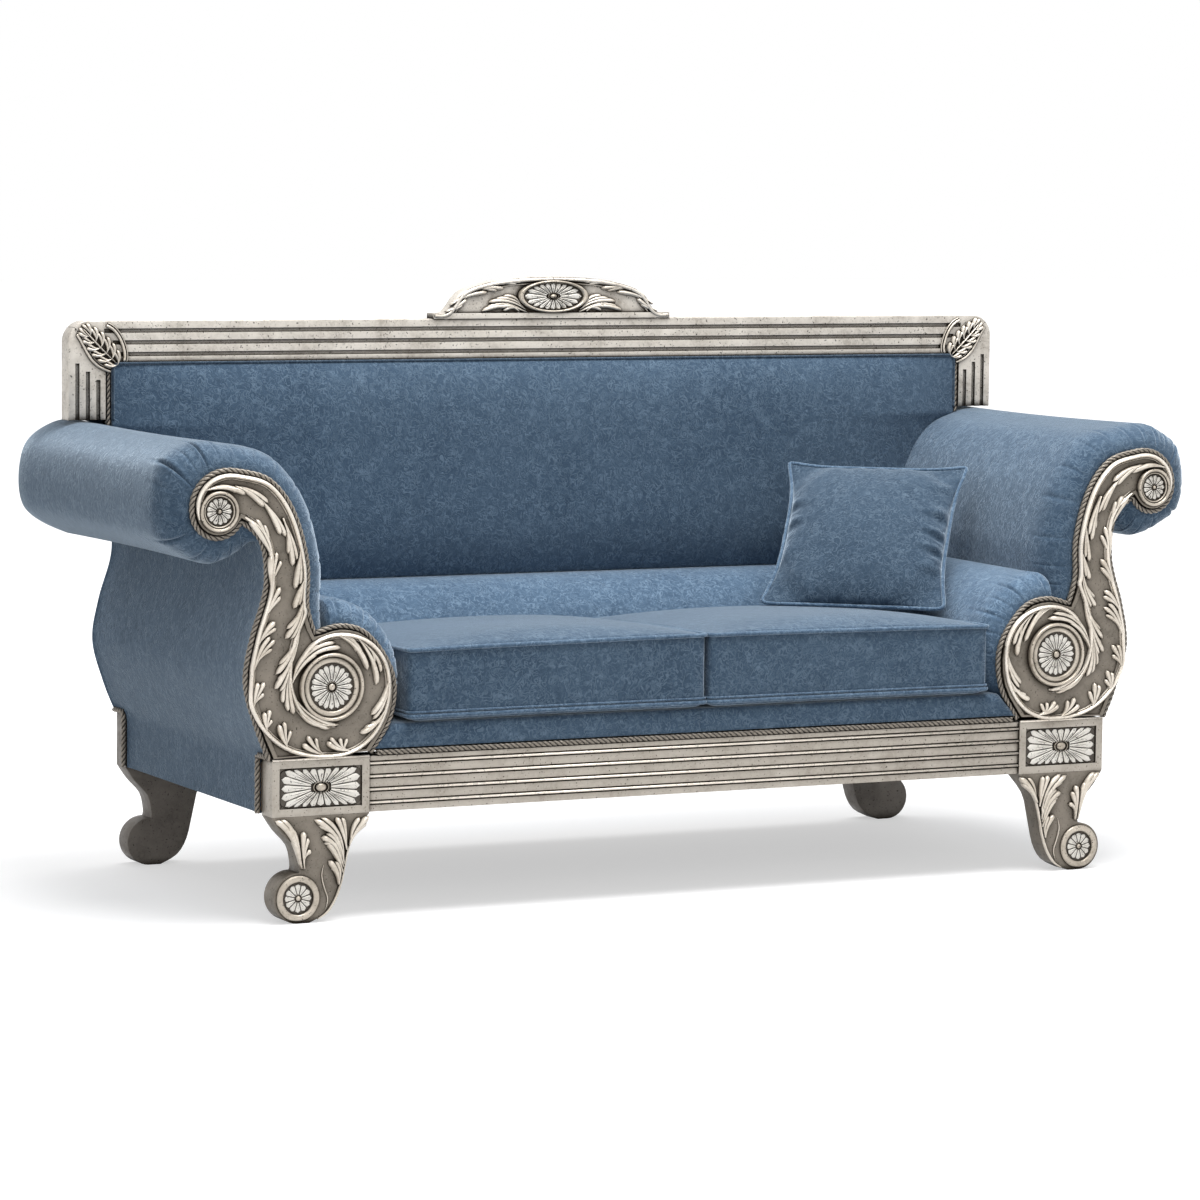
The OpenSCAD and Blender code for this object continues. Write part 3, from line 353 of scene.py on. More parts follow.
def petal_tree():
    """Petals that stand at even steps along the given outline and point at its middle."""
    tree = new_tree("petals", [("Count", "Int"), ("Petal", "Object"), ("Material", "Material")])
    given = put(tree, "NodeGroupInput").outputs
    rim = put(tree, "GeometryNodeResampleCurve", {"Curve": given["Geometry"], "Count": given["Count"]})
    place = put(tree, "GeometryNodeInputPosition").outputs[0]
    axes = put(tree, "ShaderNodeSeparateXYZ", {0: place}).outputs
    angle = maths(tree, "ARCTAN2", axes[2], axes[0])
    reach = put(tree, "ShaderNodeVectorMath", {0: place}, operation="LENGTH").outputs["Value"]
    outward = put(tree, "ShaderNodeVectorMath", {0: place}, operation="NORMALIZE").outputs[0]
    way = put(tree, "GeometryNodeInputTangent").outputs[0]
    across = put(tree, "ShaderNodeVectorMath", {0: way, 1: outward}, operation="CROSS_PRODUCT").outputs[0]
    facing = put(tree, "ShaderNodeVectorMath", {0: across}, operation="LENGTH").outputs["Value"]
    around = put(tree, "GeometryNodeCurveLength", {0: given["Geometry"]}).outputs[0]
    room = maths(tree, "MULTIPLY", maths(tree, "DIVIDE", around, 2 * math.pi), facing)
    petal = put(tree, "GeometryNodeObjectInfo", {"Object": given["Petal"]}).outputs["Geometry"]
    turned = put(tree, "ShaderNodeCombineXYZ", {"Y": maths(tree, "MULTIPLY", angle, -1.0)}).outputs[0]
    size = put(tree, "ShaderNodeCombineXYZ", {"X": reach, "Y": 1.0, "Z": room}).outputs[0]
    ring = put(tree, "GeometryNodeInstanceOnPoints",
               {"Points": rim.outputs[0], "Instance": petal, "Rotation": turned, "Scale": size})
    real = put(tree, "GeometryNodeRealizeInstances", {"Geometry": ring.outputs[0]})
    done = put(tree, "GeometryNodeSetMaterial", {"Geometry": real.outputs[0], "Material": given["Material"]})
    out = put(tree, "NodeGroupOutput")
    tree.links.new(done.outputs[0], out.inputs[0])
    return tree


def run_tree(tree, carrier, values):
    """The mesh that the tree makes on the carrier, with its named inputs set."""
    step = carrier.modifiers.new(tree.name, "NODES")
    step.node_group = tree
    for item in tree.interface.items_tree:
        if item.in_out == "INPUT" and item.name in values:
            step[item.identifier] = values[item.name]
    return worked_mesh(carrier)


def petal_shape(count, depth):
    """One petal, hollow down its middle: its round tip at the origin, its root 1 m away to -X."""
    along, across = 9, 6
    half = math.sin(math.pi / count) * 0.88
    points = []
    for i in range(along + 1):
        t = i / along
        x = 0.26 + 0.74 * t
        width = half * x * math.sqrt(max(0.0, 1 - max(0.0, (t - 0.78) / 0.22) ** 2))
        for k in range(across + 1):
            u = 2 * k / across - 1
            rise = depth * (math.cos(u * 1.45) ** 0.5) * (0.55 + 0.45 * math.sin(math.pi * min(t * 1.1, 1)))
            rise -= depth * 0.42 * math.exp(-(u / 0.28) ** 2) * math.sin(math.pi * min(1, t * 1.05))
            points.append((x - 1, -rise, u * width))
    faces = []
    row = across + 1
    for i in range(along):
        for k in range(across):
            a = i * row + k
            faces.append((a, a + 1, a + row + 1, a + row))
    return points, faces


petals_round = petal_tree()


def rosette(name, node, count, half_width, half_height, squareness, ring, proud, bead, back_y):
    """Petals and a bead on a dish, dark with patina and painted shade, inside a turned ring, in place of the
    node.

    The ring's profile is a list of pairs: how far outside the petals, and how high.
    """
    points, faces = petal_shape(count, proud * 0.62)
    petal = new_piece(name + "_petal", points, faces, petal_highlit_silver)
    plate = back_y - proud * 0.2
    turns = np.linspace(0, 2 * math.pi, 96, endpoint=False)

    def outline(grow, y):
        made = []
        for a in turns:
            w, h = half_width + grow, half_height * (1 + grow / half_width)
            reach = abs(math.cos(a) / w) ** squareness + abs(math.sin(a) / h) ** squareness
            reach = reach ** (-1 / squareness)
            made.append((reach * math.cos(a), y, reach * math.sin(a)))
        return made

    def round_bead(grow, y):
        return [(bead[0] * grow * math.cos(t), y, bead[1] * grow * math.sin(t)) for t in turns[::2]]

    carrier = curve_through(name + "_rim", [outline(0, 0)], closed=True)
    mesh = run_tree(petals_round, carrier, {"Count": count, "Petal": petal, "Material": petal_highlit_silver})
    for v in mesh.vertices:
        v.co.y += plate
    edge = ring[0][0] if ring else 0.002
    dish = Pile()
    dish.loft([outline(edge, back_y), outline(edge, plate), outline(-half_height * 0.5, plate)])
    turned = Pile()
    if ring:
        turned.loft([outline(grow, plate - high) for grow, high in ring], ends=False)
    turned.loft([round_bead(max(math.cos(a), 0.01), plate - proud * 0.85 * math.sin(a))
                 for a in np.linspace(0, math.pi / 2, 7)])
    turned.loft([round_bead(1.28 + 0.12 * math.cos(a), plate - proud * 0.5 * math.sin(a))
                 for a in np.linspace(0, math.pi, 9)], ends=False)
    body = turned.piece(name, carved_silver)
    plates = dish.piece(name + "_dish", recess_patina_and_shade)
    shape = bmesh.new()
    for number, part in enumerate((body.data, mesh, plates.data)):
        before = len(shape.faces)
        shape.from_mesh(part)
        shape.faces.ensure_lookup_table()
        for face in shape.faces[before:]:
            face.smooth = True
            face.material_index = number
    centre = middle(node)
    for v in shape.verts:
        v.co += Vector((centre.x, 0, centre.z))
    shape.to_mesh(body.data)
    shape.free()
    body.data.materials.append(petal_highlit_silver)
    body.data.materials.append(recess_patina_and_shade)
    body.data.set_sharp_from_angle(angle=math.radians(60))
    for scrap in (petal, carrier, plates):
        bpy.data.objects.remove(scrap)
    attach(body, "root")
    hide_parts(node)


def turned_ring(inner, outer, high):
    """Profile of a half-round ring, from its outer foot to its inner foot."""
    mid, half = (inner + outer) / 2, (outer - inner) / 2
    return [(mid + half * math.cos(a), high * math.sin(a) ** 0.7) for a in np.linspace(0, math.pi, 11)]


def middle(node):
    low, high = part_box(node)
    return (low + high) / 2


block_panel = 0.005
foot_ring = turned_ring(0.0035, 0.0165, 0.006)
scroll_ring = turned_ring(0.0065, 0.0135, 0.0085)[:-1] + turned_ring(0.0025, 0.0070, 0.005)[2:]
inner_moulding = [(0.0140, 0.0035), (0.0115, 0.0050), (0.0060, 0.0056), (0.0040, 0.0040), (0.0030, 0.0)]
roll_ring = turned_ring(0.0145, 0.0225, 0.0095)[:-1] + inner_moulding
for side, sign in SIDES:
    rosette("foot_petals_" + side, "foot_medallion_" + side, 12, 0.0265, 0.0265, 2, foot_ring, 0.0065,
            (0.0055, 0.0055), front_y + 0.002)
    rosette("scroll_petals_" + side, "scroll_medallion_" + side, 13, 0.0245, 0.0245, 2, scroll_ring, 0.0085,
            (0.0045, 0.0045), front_y)
    rosette("roll_petals_" + side, "roll_rosette_" + side, 20, 0.0415, 0.0415, 2, roll_ring, 0.0085,
            (0.0075, 0.0075), front_y)
    rosette("block_petals_" + side, "block_rosette_" + side, 24, 0.0785, 0.0345, 9, None, 0.0090,
            (0.0115, 0.0085), front_y + block_panel)

# Arm facings: one board for each arm, sawn to the double scroll. A polished bead runs inside
# the rope, and acanthus leaves are carved along both edges and round the lower roll.
scroll_c = np.array(middle("scroll_medallion_right"))[[0, 2]]
roll_c = np.array(middle("roll_rosette_right"))[[0, 2]]
rope_radius = 0.006
scroll_radius = 0.049
scroll_growth = 0.031
scroll_end = 114


def smooth_line(points, steps):
    p = [np.array(q, float) for q in points]
    made = []
    for i in range(len(p) - 1):
        a, b, c, d = p[max(i - 1, 0)], p[i], p[i + 1], p[min(i + 2, len(p) - 1)]
        for k in range(steps):
            t = k / steps
            made.append(0.5 * (2 * b + (c - a) * t + (2 * a - 5 * b + 4 * c - d) * t ** 2
                               + (3 * b - a - 3 * c + d) * t ** 3))
    made.append(p[-1])
    return np.array(made)


def even_line(line, step):
    """The same line with its points one step apart."""
    line = np.array(line, float)
    run = np.concatenate([[0], np.cumsum(np.linalg.norm(np.diff(line, axis=0), axis=1))])
    n = max(2, int(round(run[-1] / step)))
    at = np.linspace(0, run[-1], n + 1)
    return np.stack([np.interp(at, run, line[:, k]) for k in range(line.shape[1])], axis=1)


def eased(line, rounds):
    line = line.copy()
    for _ in range(rounds):
        line[1:-1] = line[1:-1] * 0.5 + (line[:-2] + line[2:]) * 0.25
    return line


def normals(line):
    """Unit normals of a flat line, to the right of its direction."""
    way = np.gradient(line, axis=0)
    way /= np.maximum(np.linalg.norm(way, axis=1, keepdims=True), 1e-9)
    return np.stack([way[:, 1], -way[:, 0]], axis=1)


def beside(line, offset):
    return line + normals(line) * offset


def arm_point(w, u, v):
    return roll_c * (1 - w) + scroll_c * w + np.array([u, v]) / 1000


def scroll_point(a):
    radius = scroll_radius + scroll_growth * (max(a, 0) / scroll_end) ** 1.5
    return scroll_c + radius * np.array([math.cos(math.radians(a)), math.sin(math.radians(a))])


curve_steps = 12
outer_line = smooth_line([
    (block_out + 0.003, frame_top + 0.002), arm_point(0, 144, -71), arm_point(0, 167, 13),
    arm_point(0.3, 87, -4), arm_point(0.6, -7, -9), arm_point(1, -87, -57), scroll_point(-158)], curve_steps)
scroll_line = np.array([scroll_point(a) for a in range(-140, scroll_end - 4, 6)])
inner_line = smooth_line([
    scroll_point(scroll_end), arm_point(1, -101, 54), arm_point(1, -149, -6),
    arm_point(0.6, -87, 31), arm_point(0.3, -20, 52), arm_point(0.3, -35, 0)], curve_steps)
lower_line = smooth_line([
    arm_point(0.3, -35, 0), arm_point(0, -19, 111), arm_point(0, -75, 93),
    arm_point(0, -125, 20), arm_point(0, -122, -59), (block_in - 0.003, frame_top + 0.007)], curve_steps)
rope_step = 0.004
upper_part = eased(even_line(np.concatenate([outer_line, scroll_line, inner_line]), rope_step), 4)
lower_part = eased(even_line(lower_line, rope_step), 4)
rope_line = np.concatenate([upper_part, lower_part[1:]])


def at_depth(line, y, sign=1):
    """A flat X and Z line as points at the depth y, mirrored for the left arm."""
    line = np.array(line)
    return np.stack([line[:, 0] * sign, np.full(len(line), y), line[:, 1]], axis=1)


def bead_rings(path, wide, high, across=(0, 1, 0), sides=8):
    """Rings of an oval section along a path: high along the direction across, wide beside it."""
    path = np.array(path, float)
    up = np.array(across, float)
    way = np.gradient(path, axis=0)
    way /= np.maximum(np.linalg.norm(way, axis=1, keepdims=True), 1e-9)
    out = np.cross(way, up)
    out /= np.maximum(np.linalg.norm(out, axis=1, keepdims=True), 1e-9)
    wide = np.broadcast_to(wide, len(path))
    high = np.broadcast_to(high, len(path))
    turns = np.arange(sides) * 2 * math.pi / sides
    return [path[i] + np.outer(np.cos(turns) * high[i], up) + np.outer(np.sin(turns) * wide[i], out[i])
            for i in range(len(path))]


def bent(root, elbow, tip, steps=12):
    t = np.linspace(0, 1, steps)[:, None]
    return (1 - t) ** 2 * np.array(root) + 2 * t * (1 - t) * np.array(elbow) + t ** 2 * np.array(tip)


def ridge(pile, line, y, width, height, sign, vein=0.3):
    """One lobe of a leaf: narrow at its root, broad towards its round tip, with a vein along its crest."""
    t = np.linspace(0, 1, len(line))
    swell = 0.40 + 0.60 * np.sin(math.pi / 2 * np.clip(t / 0.74, 0, 1)) ** 1.5
    close = np.sqrt(np.clip(1 - np.clip((t - 0.82) / 0.18, 0, 1) ** 2, 0.004, 1))
    high = height * (0.60 + 0.40 * swell) * close
    rings = bead_rings(at_depth(line, y, sign), width * swell * close, high, sides=12)
    for ring, full in zip(rings, high):
        ring[0][1] += vein * full
    pile.loft(rings)


def sprig(pile, root, elbow, tips, y, sign, width=0.0056, height=0.0092):
    """An acanthus sprig: its lobes leave one stem in turn and spread towards their tips."""
    root, elbow = np.array(root, float), np.array(elbow, float)
    ends = [np.array(tip, float) for tip in tips]
    mean = sum(ends) / len(ends)
    stem = bent(root, elbow, mean)
    for i, end in enumerate(ends):
        curve = bent(stem[i], elbow + (end - mean) * 0.45, end, 14)
        ridge(pile, curve, y, width * (1 - 0.10 * i), height * (1 - 0.10 * i), sign)


def rounded_bead(pile, line, y, sign, width, height, sides=8):
    """A polished bead along a line, drawn out thin at both ends."""
    t = np.linspace(0, 1, len(line)) * (len(line) - 1)
    fade = np.clip(np.minimum(t + 1, len(line) - t) / 8, 0.15, 1) ** 0.5
    pile.loft(bead_rings(at_depth(line, y, sign), width * fade, height * fade, sides=sides))


def on_arm(points):
    """Points measured in millimetres from the middle of the lower roll."""
    return [roll_c + np.array(p) / 1000 for p in points]


bead_set = rope_radius + 0.0030
outer_edge = beside(eased(even_line(outer_line, 0.003), 4), -bead_set)
outer_edge = [p for p in outer_edge[::-1] if p[1] > roll_c[1] + 0.035]
outer_bead = even_line(smooth_line(outer_edge[::4] + on_arm([
    (159, -18), (150, -46), (134, -72), (110, -96), (80, -114), (46, -124), (12, -127.5), (-22, -126),
    (-54, -116), (-82, -95), (-102, -66), (-113, -34), (-116, 0), (-111, 32), (-96, 60), (-74, 80), (-46, 92),
    (-16, 96), (12, 92), (36, 80), (54, 60), (65, 36)]), 6), 0.004)
inner_edge = np.concatenate([scroll_line[20:], inner_line])
inner_edge = beside(eased(even_line(inner_edge, 0.003), 4), -bead_set)
inner_edge = [p for p in inner_edge if p[1] > roll_c[1] + 0.130]
inner_bead = even_line(smooth_line(inner_edge[::4] + on_arm([
    (66, 108), (76, 76), (82, 44), (82, 12), (75, -16), (61, -41), (40, -59), (14, -69),
    (-14, -70)]), 6), 0.004)
arm_sprigs = [
    ((246, 362), (205, 380), ((170, 359), (186, 363))),
    ((192, 374), (160, 368), ((134, 335), (126, 342), (148, 350))),
    ((142, 350), (112, 318), ((102, 283), (91, 279), (113, 304))),
    ((98, 314), (80, 270), ((78, 225), (70, 235), (87, 248))),
    ((75, 258), (65, 220), ((74, 183), (64, 190))),
    ((65, 206), (64, 175), ((76, 147), (67, 152))),
    ((62, 168), (62, 124), ((93, 92), (82, 91), (90, 110))),
    ((64, 116), (74, 62), ((111, 27), (101, 19), (105, 45))),
    ((76, 72), (86, 32), ((113, 0), (102, -5), (107, 15))),
    ((82, 38), (94, -8), ((74, -48), (85, -42), (96, -26))),
    ((124, 246), (133, 288), ((165, 312), (151, 314), (136, 303))),
    ((127, 184), (118, 222), ((121, 247), (109, 253), (100, 236))),
    ((133, 124), (122, 160), ((101, 188), (101, 171))),
    ((150, 76), (136, 108), ((111, 124), (109, 112))),
    ((156, 26), (146, 72), ((121, 99), (111, 91), (116, 75))),
    ((153, -36), (150, -8), ((145, 14), (132, 14), (133, -7))),
    ((130, -82), (131, -60), ((132, -41), (121, -37), (117, -56))),
    ((86, -113), (94, -90), ((104, -65), (93, -60), (80, -77))),
    ((10, -126), (38, -113), ((57, -103), (47, -88), (30, -93))),
    ((-42, -121), (-12, -114), ((8, -101), (1, -93), (-19, -95), (-33, -97))),
    ((-10, 94), (-54, 86), ((-73, 27), (-62, 46), (-49, 62))),
    ((-50, 88), (-95, 50), ((-90, -1), (-98, 22), (-82, 38))),
    ((-115, 14), (-112, -30), ((-79, -56), (-83, -65), (-93, -44))),
    ((-110, -38), (-94, -78), ((-57, -88), (-66, -79), (-80, -70))),
    ((66, 34), (42, 80), ((-20, 72), (-8, 82), (12, 77))),
    ((74, 8), (64, 54), ((28, 63), (40, 68))),
    ((76, -16), (54, -60), ((-14, -72), (2, -78), (20, -72)))]
bead_points = np.concatenate([outer_bead, inner_bead])
for side, sign in SIDES:
    eased_copy("arm_facing_" + side, ground_silver, 0.0009)
    beads = Pile()
    for line, fillet in ((outer_bead, 0.0055), (inner_bead, -0.0055)):
        rounded_bead(beads, line, front_y - 0.001, sign, 0.0042, 0.0072)
        rounded_bead(beads, beside(line, fillet), front_y, sign, 0.0014, 0.0042, 6)
    carved = beads.piece("facing_bead_" + side, polished_highlit_silver, 60)
    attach(carved, "root")
    leaves = Pile()
    for root, elbow, tips in arm_sprigs:
        root, elbow, *ends = on_arm([root, elbow, *tips])
        away = np.linalg.norm(bead_points - root, axis=1)
        if away.min() < 0.016:
            root = bead_points[away.argmin()]
        sprig(leaves, root, elbow, ends, front_y, sign)
    carved = leaves.piece("facing_leaves_" + side, acanthus_highlit_silver)
    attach(carved, "root")

# Polished beads of the front rail, run between their grooves from block to block, and the
# thin cap on each block under the foot of its facing.
beads = Pile()
for height in rail_bead_heights:
    run = [(x, rail_low.y + 0.0002, height) for x in (rail_low.x + 0.0005, 0.0, rail_high.x - 0.0005)]
    beads.loft(bead_rings(run, 0.0023, 0.0030))
for side, sign in SIDES:
    cap = [(sign * x, front_y + 0.0012, frame_top + 0.0008) for x in (block_in + 0.001, block_out - 0.001)]
    beads.loft(bead_rings(cap, 0.0022, 0.0026))
rail_beads = beads.piece("front_rail_beads", polished_highlit_silver)
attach(rail_beads, "root")

# Leaves on the front legs: long acanthus leaves run down from the block's outer corner and climb
# the inner edge from the foot. They are carved in the leg's own face, with a bead along its edge.


def on_leg(points):
    """Points measured in millimetres from the inner top corner of the leg."""
    return [np.array([block_in + p[0] / 1000, leg_top + p[1] / 1000]) for p in points]


leg_sprigs = [
    ((138, -88), (150, -22), ((189, -5), (178, -4))),
    ((137, -96), (146, -46), ((166, -14), (156, -22))),
    ((132, -97), (134, -56), ((132, -28), (123, -41), (117, -66))),
    ((53, -92), (56, -30), ((112, -7), (98, -4), (104, -18))),
    ((54, -98), (66, -44), ((98, -41), (88, -34), (92, -52))),
    ((55, -108), (66, -64), ((86, -52), (76, -48))),
    ((47, -66), (53, -26), ((68, -5), (56, -6))),
    ((42, -58), (32, -26), ((2, -7), (6, -18), (20, -8))),
    ((62, -130), (60, -104), ((83, -85), (70, -86), (78, -96)))]
leg_bead = [(2, -6), (20, -24), (37, -48), (45, -72), (51, -98), (57, -126), (68, -156), (84, -180),
            (104, -193)]
leg_stem = [(92, -92), (96, -112), (91, -134), (84, -156), (88, -176)]
for side, sign in SIDES:
    leaves = Pile()
    for root, elbow, tips in leg_sprigs:
        root, elbow, *ends = on_leg([root, elbow, *tips])
        sprig(leaves, root, elbow, ends, front_y, sign, 0.0060)
    for points, width, height in ((leg_bead, 0.0024, 0.0045), (leg_stem, 0.0014, 0.0032)):
        line = even_line(smooth_line(on_leg(points), 8), 0.004)
        rounded_bead(leaves, line, front_y, sign, width, height)
    carved = leaves.piece("leg_leaves_" + side, acanthus_highlit_silver)
    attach(carved, "root")

# Rope trim: three strands of dark pewter cord laid right-handed, tacked round each facing, along
# the front rail, beside each block, over the rear blocks and between the stiles and the padded back.
strand_radius = 0.0031
strand_lay = 0.0029
strand_pitch = 0.034


def rope_tree():
    """Three strands that wind round the given curve."""
    tree = new_tree("laid_rope", [("Strand radius", "Float"), ("Lay", "Float"), ("Pitch", "Float"),
                                  ("Step", "Float"), ("Material", "Material")])
    given = put(tree, "NodeGroupInput").outputs
    line = put(tree, "GeometryNodeResampleCurve", {"Curve": given["Geometry"], "Length": given["Step"]},
               mode="LENGTH")
    along = put(tree, "GeometryNodeSplineParameter").outputs["Length"]
    way = put(tree, "GeometryNodeInputTangent").outputs[0]
    normal = put(tree, "GeometryNodeInputNormal").outputs[0]
    third = put(tree, "ShaderNodeVectorMath", {0: way, 1: normal}, operation="CROSS_PRODUCT").outputs[0]
    turn = maths(tree, "MULTIPLY", maths(tree, "DIVIDE", along, given["Pitch"]), 2 * math.pi)
    section = put(tree, "GeometryNodeCurvePrimitiveCircle",
                  {"Resolution": 6, "Radius": given["Strand radius"]})
    joined = put(tree, "GeometryNodeJoinGeometry")
    for k in range(3):
        angle = maths(tree, "ADD", turn, 2 * math.pi * k / 3)
        moves = []
        for direction, wave in ((normal, "COSINE"), (third, "SINE")):
            size = maths(tree, "MULTIPLY", maths(tree, wave, angle), given["Lay"])
            scaled = put(tree, "ShaderNodeVectorMath", {0: direction, "Scale": size}, operation="SCALE")
            moves.append(scaled.outputs[0])
        offset = put(tree, "ShaderNodeVectorMath", {0: moves[0], 1: moves[1]}, operation="ADD").outputs[0]
        wound = put(tree, "GeometryNodeSetPosition", {"Geometry": line.outputs[0], "Offset": offset})
        body = put(tree, "GeometryNodeCurveToMesh",
                   {"Curve": wound.outputs[0], "Profile Curve": section.outputs[0], "Fill Caps": True})
        tree.links.new(body.outputs[0], joined.inputs[0])
    real = put(tree, "GeometryNodeRealizeInstances", {"Geometry": joined.outputs[0]})
    done = put(tree, "GeometryNodeSetMaterial", {"Geometry": real.outputs[0], "Material": given["Material"]})
    out = put(tree, "NodeGroupOutput")
    tree.links.new(done.outputs[0], out.inputs[0])
    return tree


def pewter_cord():
    made, tree, cord, place = new_finish("pewter_cord")
    # Dark in the grooves between the strands and light on their open crests: painted shade and a painted
    # highlight.
    crest = open_faces(tree, 0.004, (0.52, (0.008, 0.006, 0.005, 1)), (0.78, (0.055, 0.047, 0.038, 1)),
                       (0.98, (0.34, 0.30, 0.25, 1)))
    flecks = ramp(tree, noise(tree, place, 240, 4), (0.35, 0.5), (0.7, 1.0))
    set_sockets(tree, cord, {
        "Base Color": blended(tree, 1.0, crest, flecks, "MULTIPLY"),
        "Roughness": 0.45,
        "Metallic": 0.35,
        "Normal": bumped(tree, noise(tree, place, 700, 3), 0.4, 0.0004)})
    return made


laid_rope = rope_tree()
cord_finish = pewter_cord()


def rope(name, paths, node):
    """A laid rope along each path, as one piece that replaces the node."""
    carrier = curve_through(name + "_line", paths)
    mesh = run_tree(laid_rope, carrier, {"Strand radius": strand_radius, "Lay": strand_lay,
                                         "Pitch": strand_pitch, "Step": 0.0025, "Material": cord_finish})
    bpy.data.objects.remove(carrier)
    mesh.name = name
    mesh.shade_smooth()
    piece = new_object(name, mesh)
    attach(piece, "root")
    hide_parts(node)


rope_y = front_y + rope_radius
rear_low, rear_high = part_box("rear_leg_right")
edge_x = block_out + rope_radius
block_back = block_high.y


def block_rope(y, turn, end, sign):
    """Up beside a block's edge, over its top corner and along to the facing or the rear board."""
    drop = rope_radius
    points = [(edge_x, y, leg_top + 0.003), (edge_x, y, frame_top - drop),
              (edge_x, y + turn * drop * 0.5, frame_top + drop * 0.6),
              (edge_x, y + turn * drop * 1.6, frame_top + drop * 1.1), (edge_x, end, frame_top + drop * 1.1)]
    return even_line([(p[0] * sign, p[1], p[2]) for p in smooth_line(points, 6)], 0.003)


for side, sign in SIDES:
    over_block = [(sign * x, rear_high.y - rope_radius, frame_top + rope_radius * 1.1)
                  for x in (edge_x, block_in + 0.004)]
    rope("rope_arm_" + side, [
        at_depth(rope_line, rope_y, sign),
        block_rope(block_back + rope_radius, -1, front_y + 0.013, sign),
        block_rope(rear_low.y - rope_radius, 1, rear_high.y - 0.004, sign),
        even_line(over_block, 0.003)], "arm_rope_" + side)
rope_low, rope_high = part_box("rail_rope")
rail_line = [(x, rope_y, frame_top + rope_radius) for x in (rope_low.x, rope_high.x)]
rope("rope_rail", [even_line(rail_line, 0.01)], "rail_rope")
rope_low, rope_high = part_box("back_rope")
stile_lines = [[(sign * (rope_high.x - rope_radius), rope_low.y + rope_radius, z)
                for z in (rope_low.z - 0.01, rope_high.z)] for side, sign in SIDES]
rope("rope_back", [even_line(line, 0.01) for line in stile_lines], "back_rope")

# Back frame: a mitred top rail and two short stiles with stopped flutes, silvered beech. A leaf
# spray in a raised border covers each mitre. It is screwed to the battens behind it.
top_low, top_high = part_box("back_top_rail")
frame_face = top_low.y
back_top = top_high.z
back_half = top_high.x
rail_under = top_low.z
for node in ("back_top_rail", "back_stile_left", "back_stile_right"):
    eased_copy(node, frame_silver, 0.0011)


def on_mitre(points):
    """Points measured in millimetres inward and down from the outer corner of the back frame."""
    return [np.array([back_half - p[0] / 1000, back_top - p[1] / 1000]) for p in points]


for side, sign in SIDES:
    spray = Pile()
    for edge in ([(66, 9), (80, 17), (93, 33), (101, 52), (104, 68), (102, 79)],
                 [(5, 26), (14, 40), (24, 58), (35, 75), (49, 88), (63, 95), (74, 99)]):
        line = even_line(smooth_line(on_mitre(edge), 8), 0.003)
        spray.loft(bead_rings(at_depth(line, frame_face, sign), 0.0028, 0.0046))
        spray.loft(bead_rings(at_depth(beside(line, 0.0055), frame_face, sign), 0.0013, 0.0028, sides=6))
    base, tip = on_mitre([(89, 86), (13, 11)])
    way = (tip - base) / np.linalg.norm(tip - base)
    cross = np.array([way[1], -way[0]])
    for i in range(6):
        root = base + (tip - base) * (0.02 + 0.15 * i)
        spread = 0.023 * math.sin(math.pi * (0.30 + 0.105 * i))
        for hand in (-1, 1):
            end = root + way * 0.021 + cross * hand * spread
            next_end = root + way * 0.026 + cross * hand * (spread - 0.008)
            sprig(spray, root, root + way * 0.004 + cross * hand * spread * 0.75, (end, next_end),
                  frame_face, sign, 0.0040, 0.0080)
    ridge(spray, bent(base, (base + tip) / 2 + cross * 0.003, tip), frame_face, 0.0022, 0.0075, sign)
    carved = spray.piece("corner_spray_" + side, acanthus_highlit_silver)
    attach(carved, "root")
    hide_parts("corner_leaf_" + side)

# Crest: a low swept board glued on the top rail, with a moulding under it, a rolled top edge, an
# oval rosette and acanthus leaves on both sides.
crest_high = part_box("crest")[1]
eased_copy("crest", frame_silver, 0.0012)
crest_half = crest_high.x - 0.002
crest_tall = crest_high.z - back_top
crest_face = frame_face + 0.003
crest_side = smooth_line([
    (crest_half, 0.011), (crest_half - 0.030, 0.014), (crest_half - 0.062, crest_tall * 0.62),
    (crest_half - 0.110, crest_tall * 0.84), (crest_half * 0.3, crest_tall * 0.97),
    (0, crest_tall)], curve_steps)
crest_side[:, 1] += back_top
oval_ring = turned_ring(0.0030, 0.0150, 0.0085)
rosette("crest_petals", "crest_rosette", 20, 0.0640, 0.0268, 2, oval_ring, 0.0095, (0.0085, 0.0055),
        crest_face - 0.001)
crest_sprigs = [
    ((238, 14), (214, 22), ((193, 40), (202, 29))),
    ((229, 28), (198, 53), ((145, 53), (158, 50), (174, 57))),
    ((180, 60), (150, 64), ((109, 61), (124, 56))),
    ((142, 71), (106, 75), ((66, 75), (80, 70))),
    ((62, 18), (90, 46), ((145, 33), (129, 39), (112, 45))),
    ((60, 13), (112, 38), ((160, 14), (149, 21))),
    ((76, 14), (92, 30), ((122, 22), (112, 15)))]
leaves = Pile()
edges = Pile()
for side, sign in SIDES:
    rolled = beside(eased(even_line(crest_side, 0.003), 3), -0.0055)
    edges.loft(bead_rings(at_depth(rolled, crest_face - 0.002, sign), 0.0046, 0.0062))
    leaves.loft(bead_rings(at_depth(beside(rolled, -0.0075), crest_face, sign), 0.0016, 0.0042, sides=6))
    for root, elbow, tips in crest_sprigs:
        root, elbow, *ends = [np.array([x / 1000, back_top + z / 1000]) for x, z in (root, elbow, *tips)]
        sprig(leaves, root, elbow, ends, crest_face, sign, 0.0046, 0.0078)
carved = leaves.piece("crest_leaves", acanthus_highlit_silver)
edge = edges.piece("crest_edge", frame_silver)
for piece in (carved, edge):
    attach(piece, "root")

# Padded arms: foam and wadding over the boards and rails of each arm, under velvet that is drawn
# round the front edge in small pleats and tacked behind the rope.


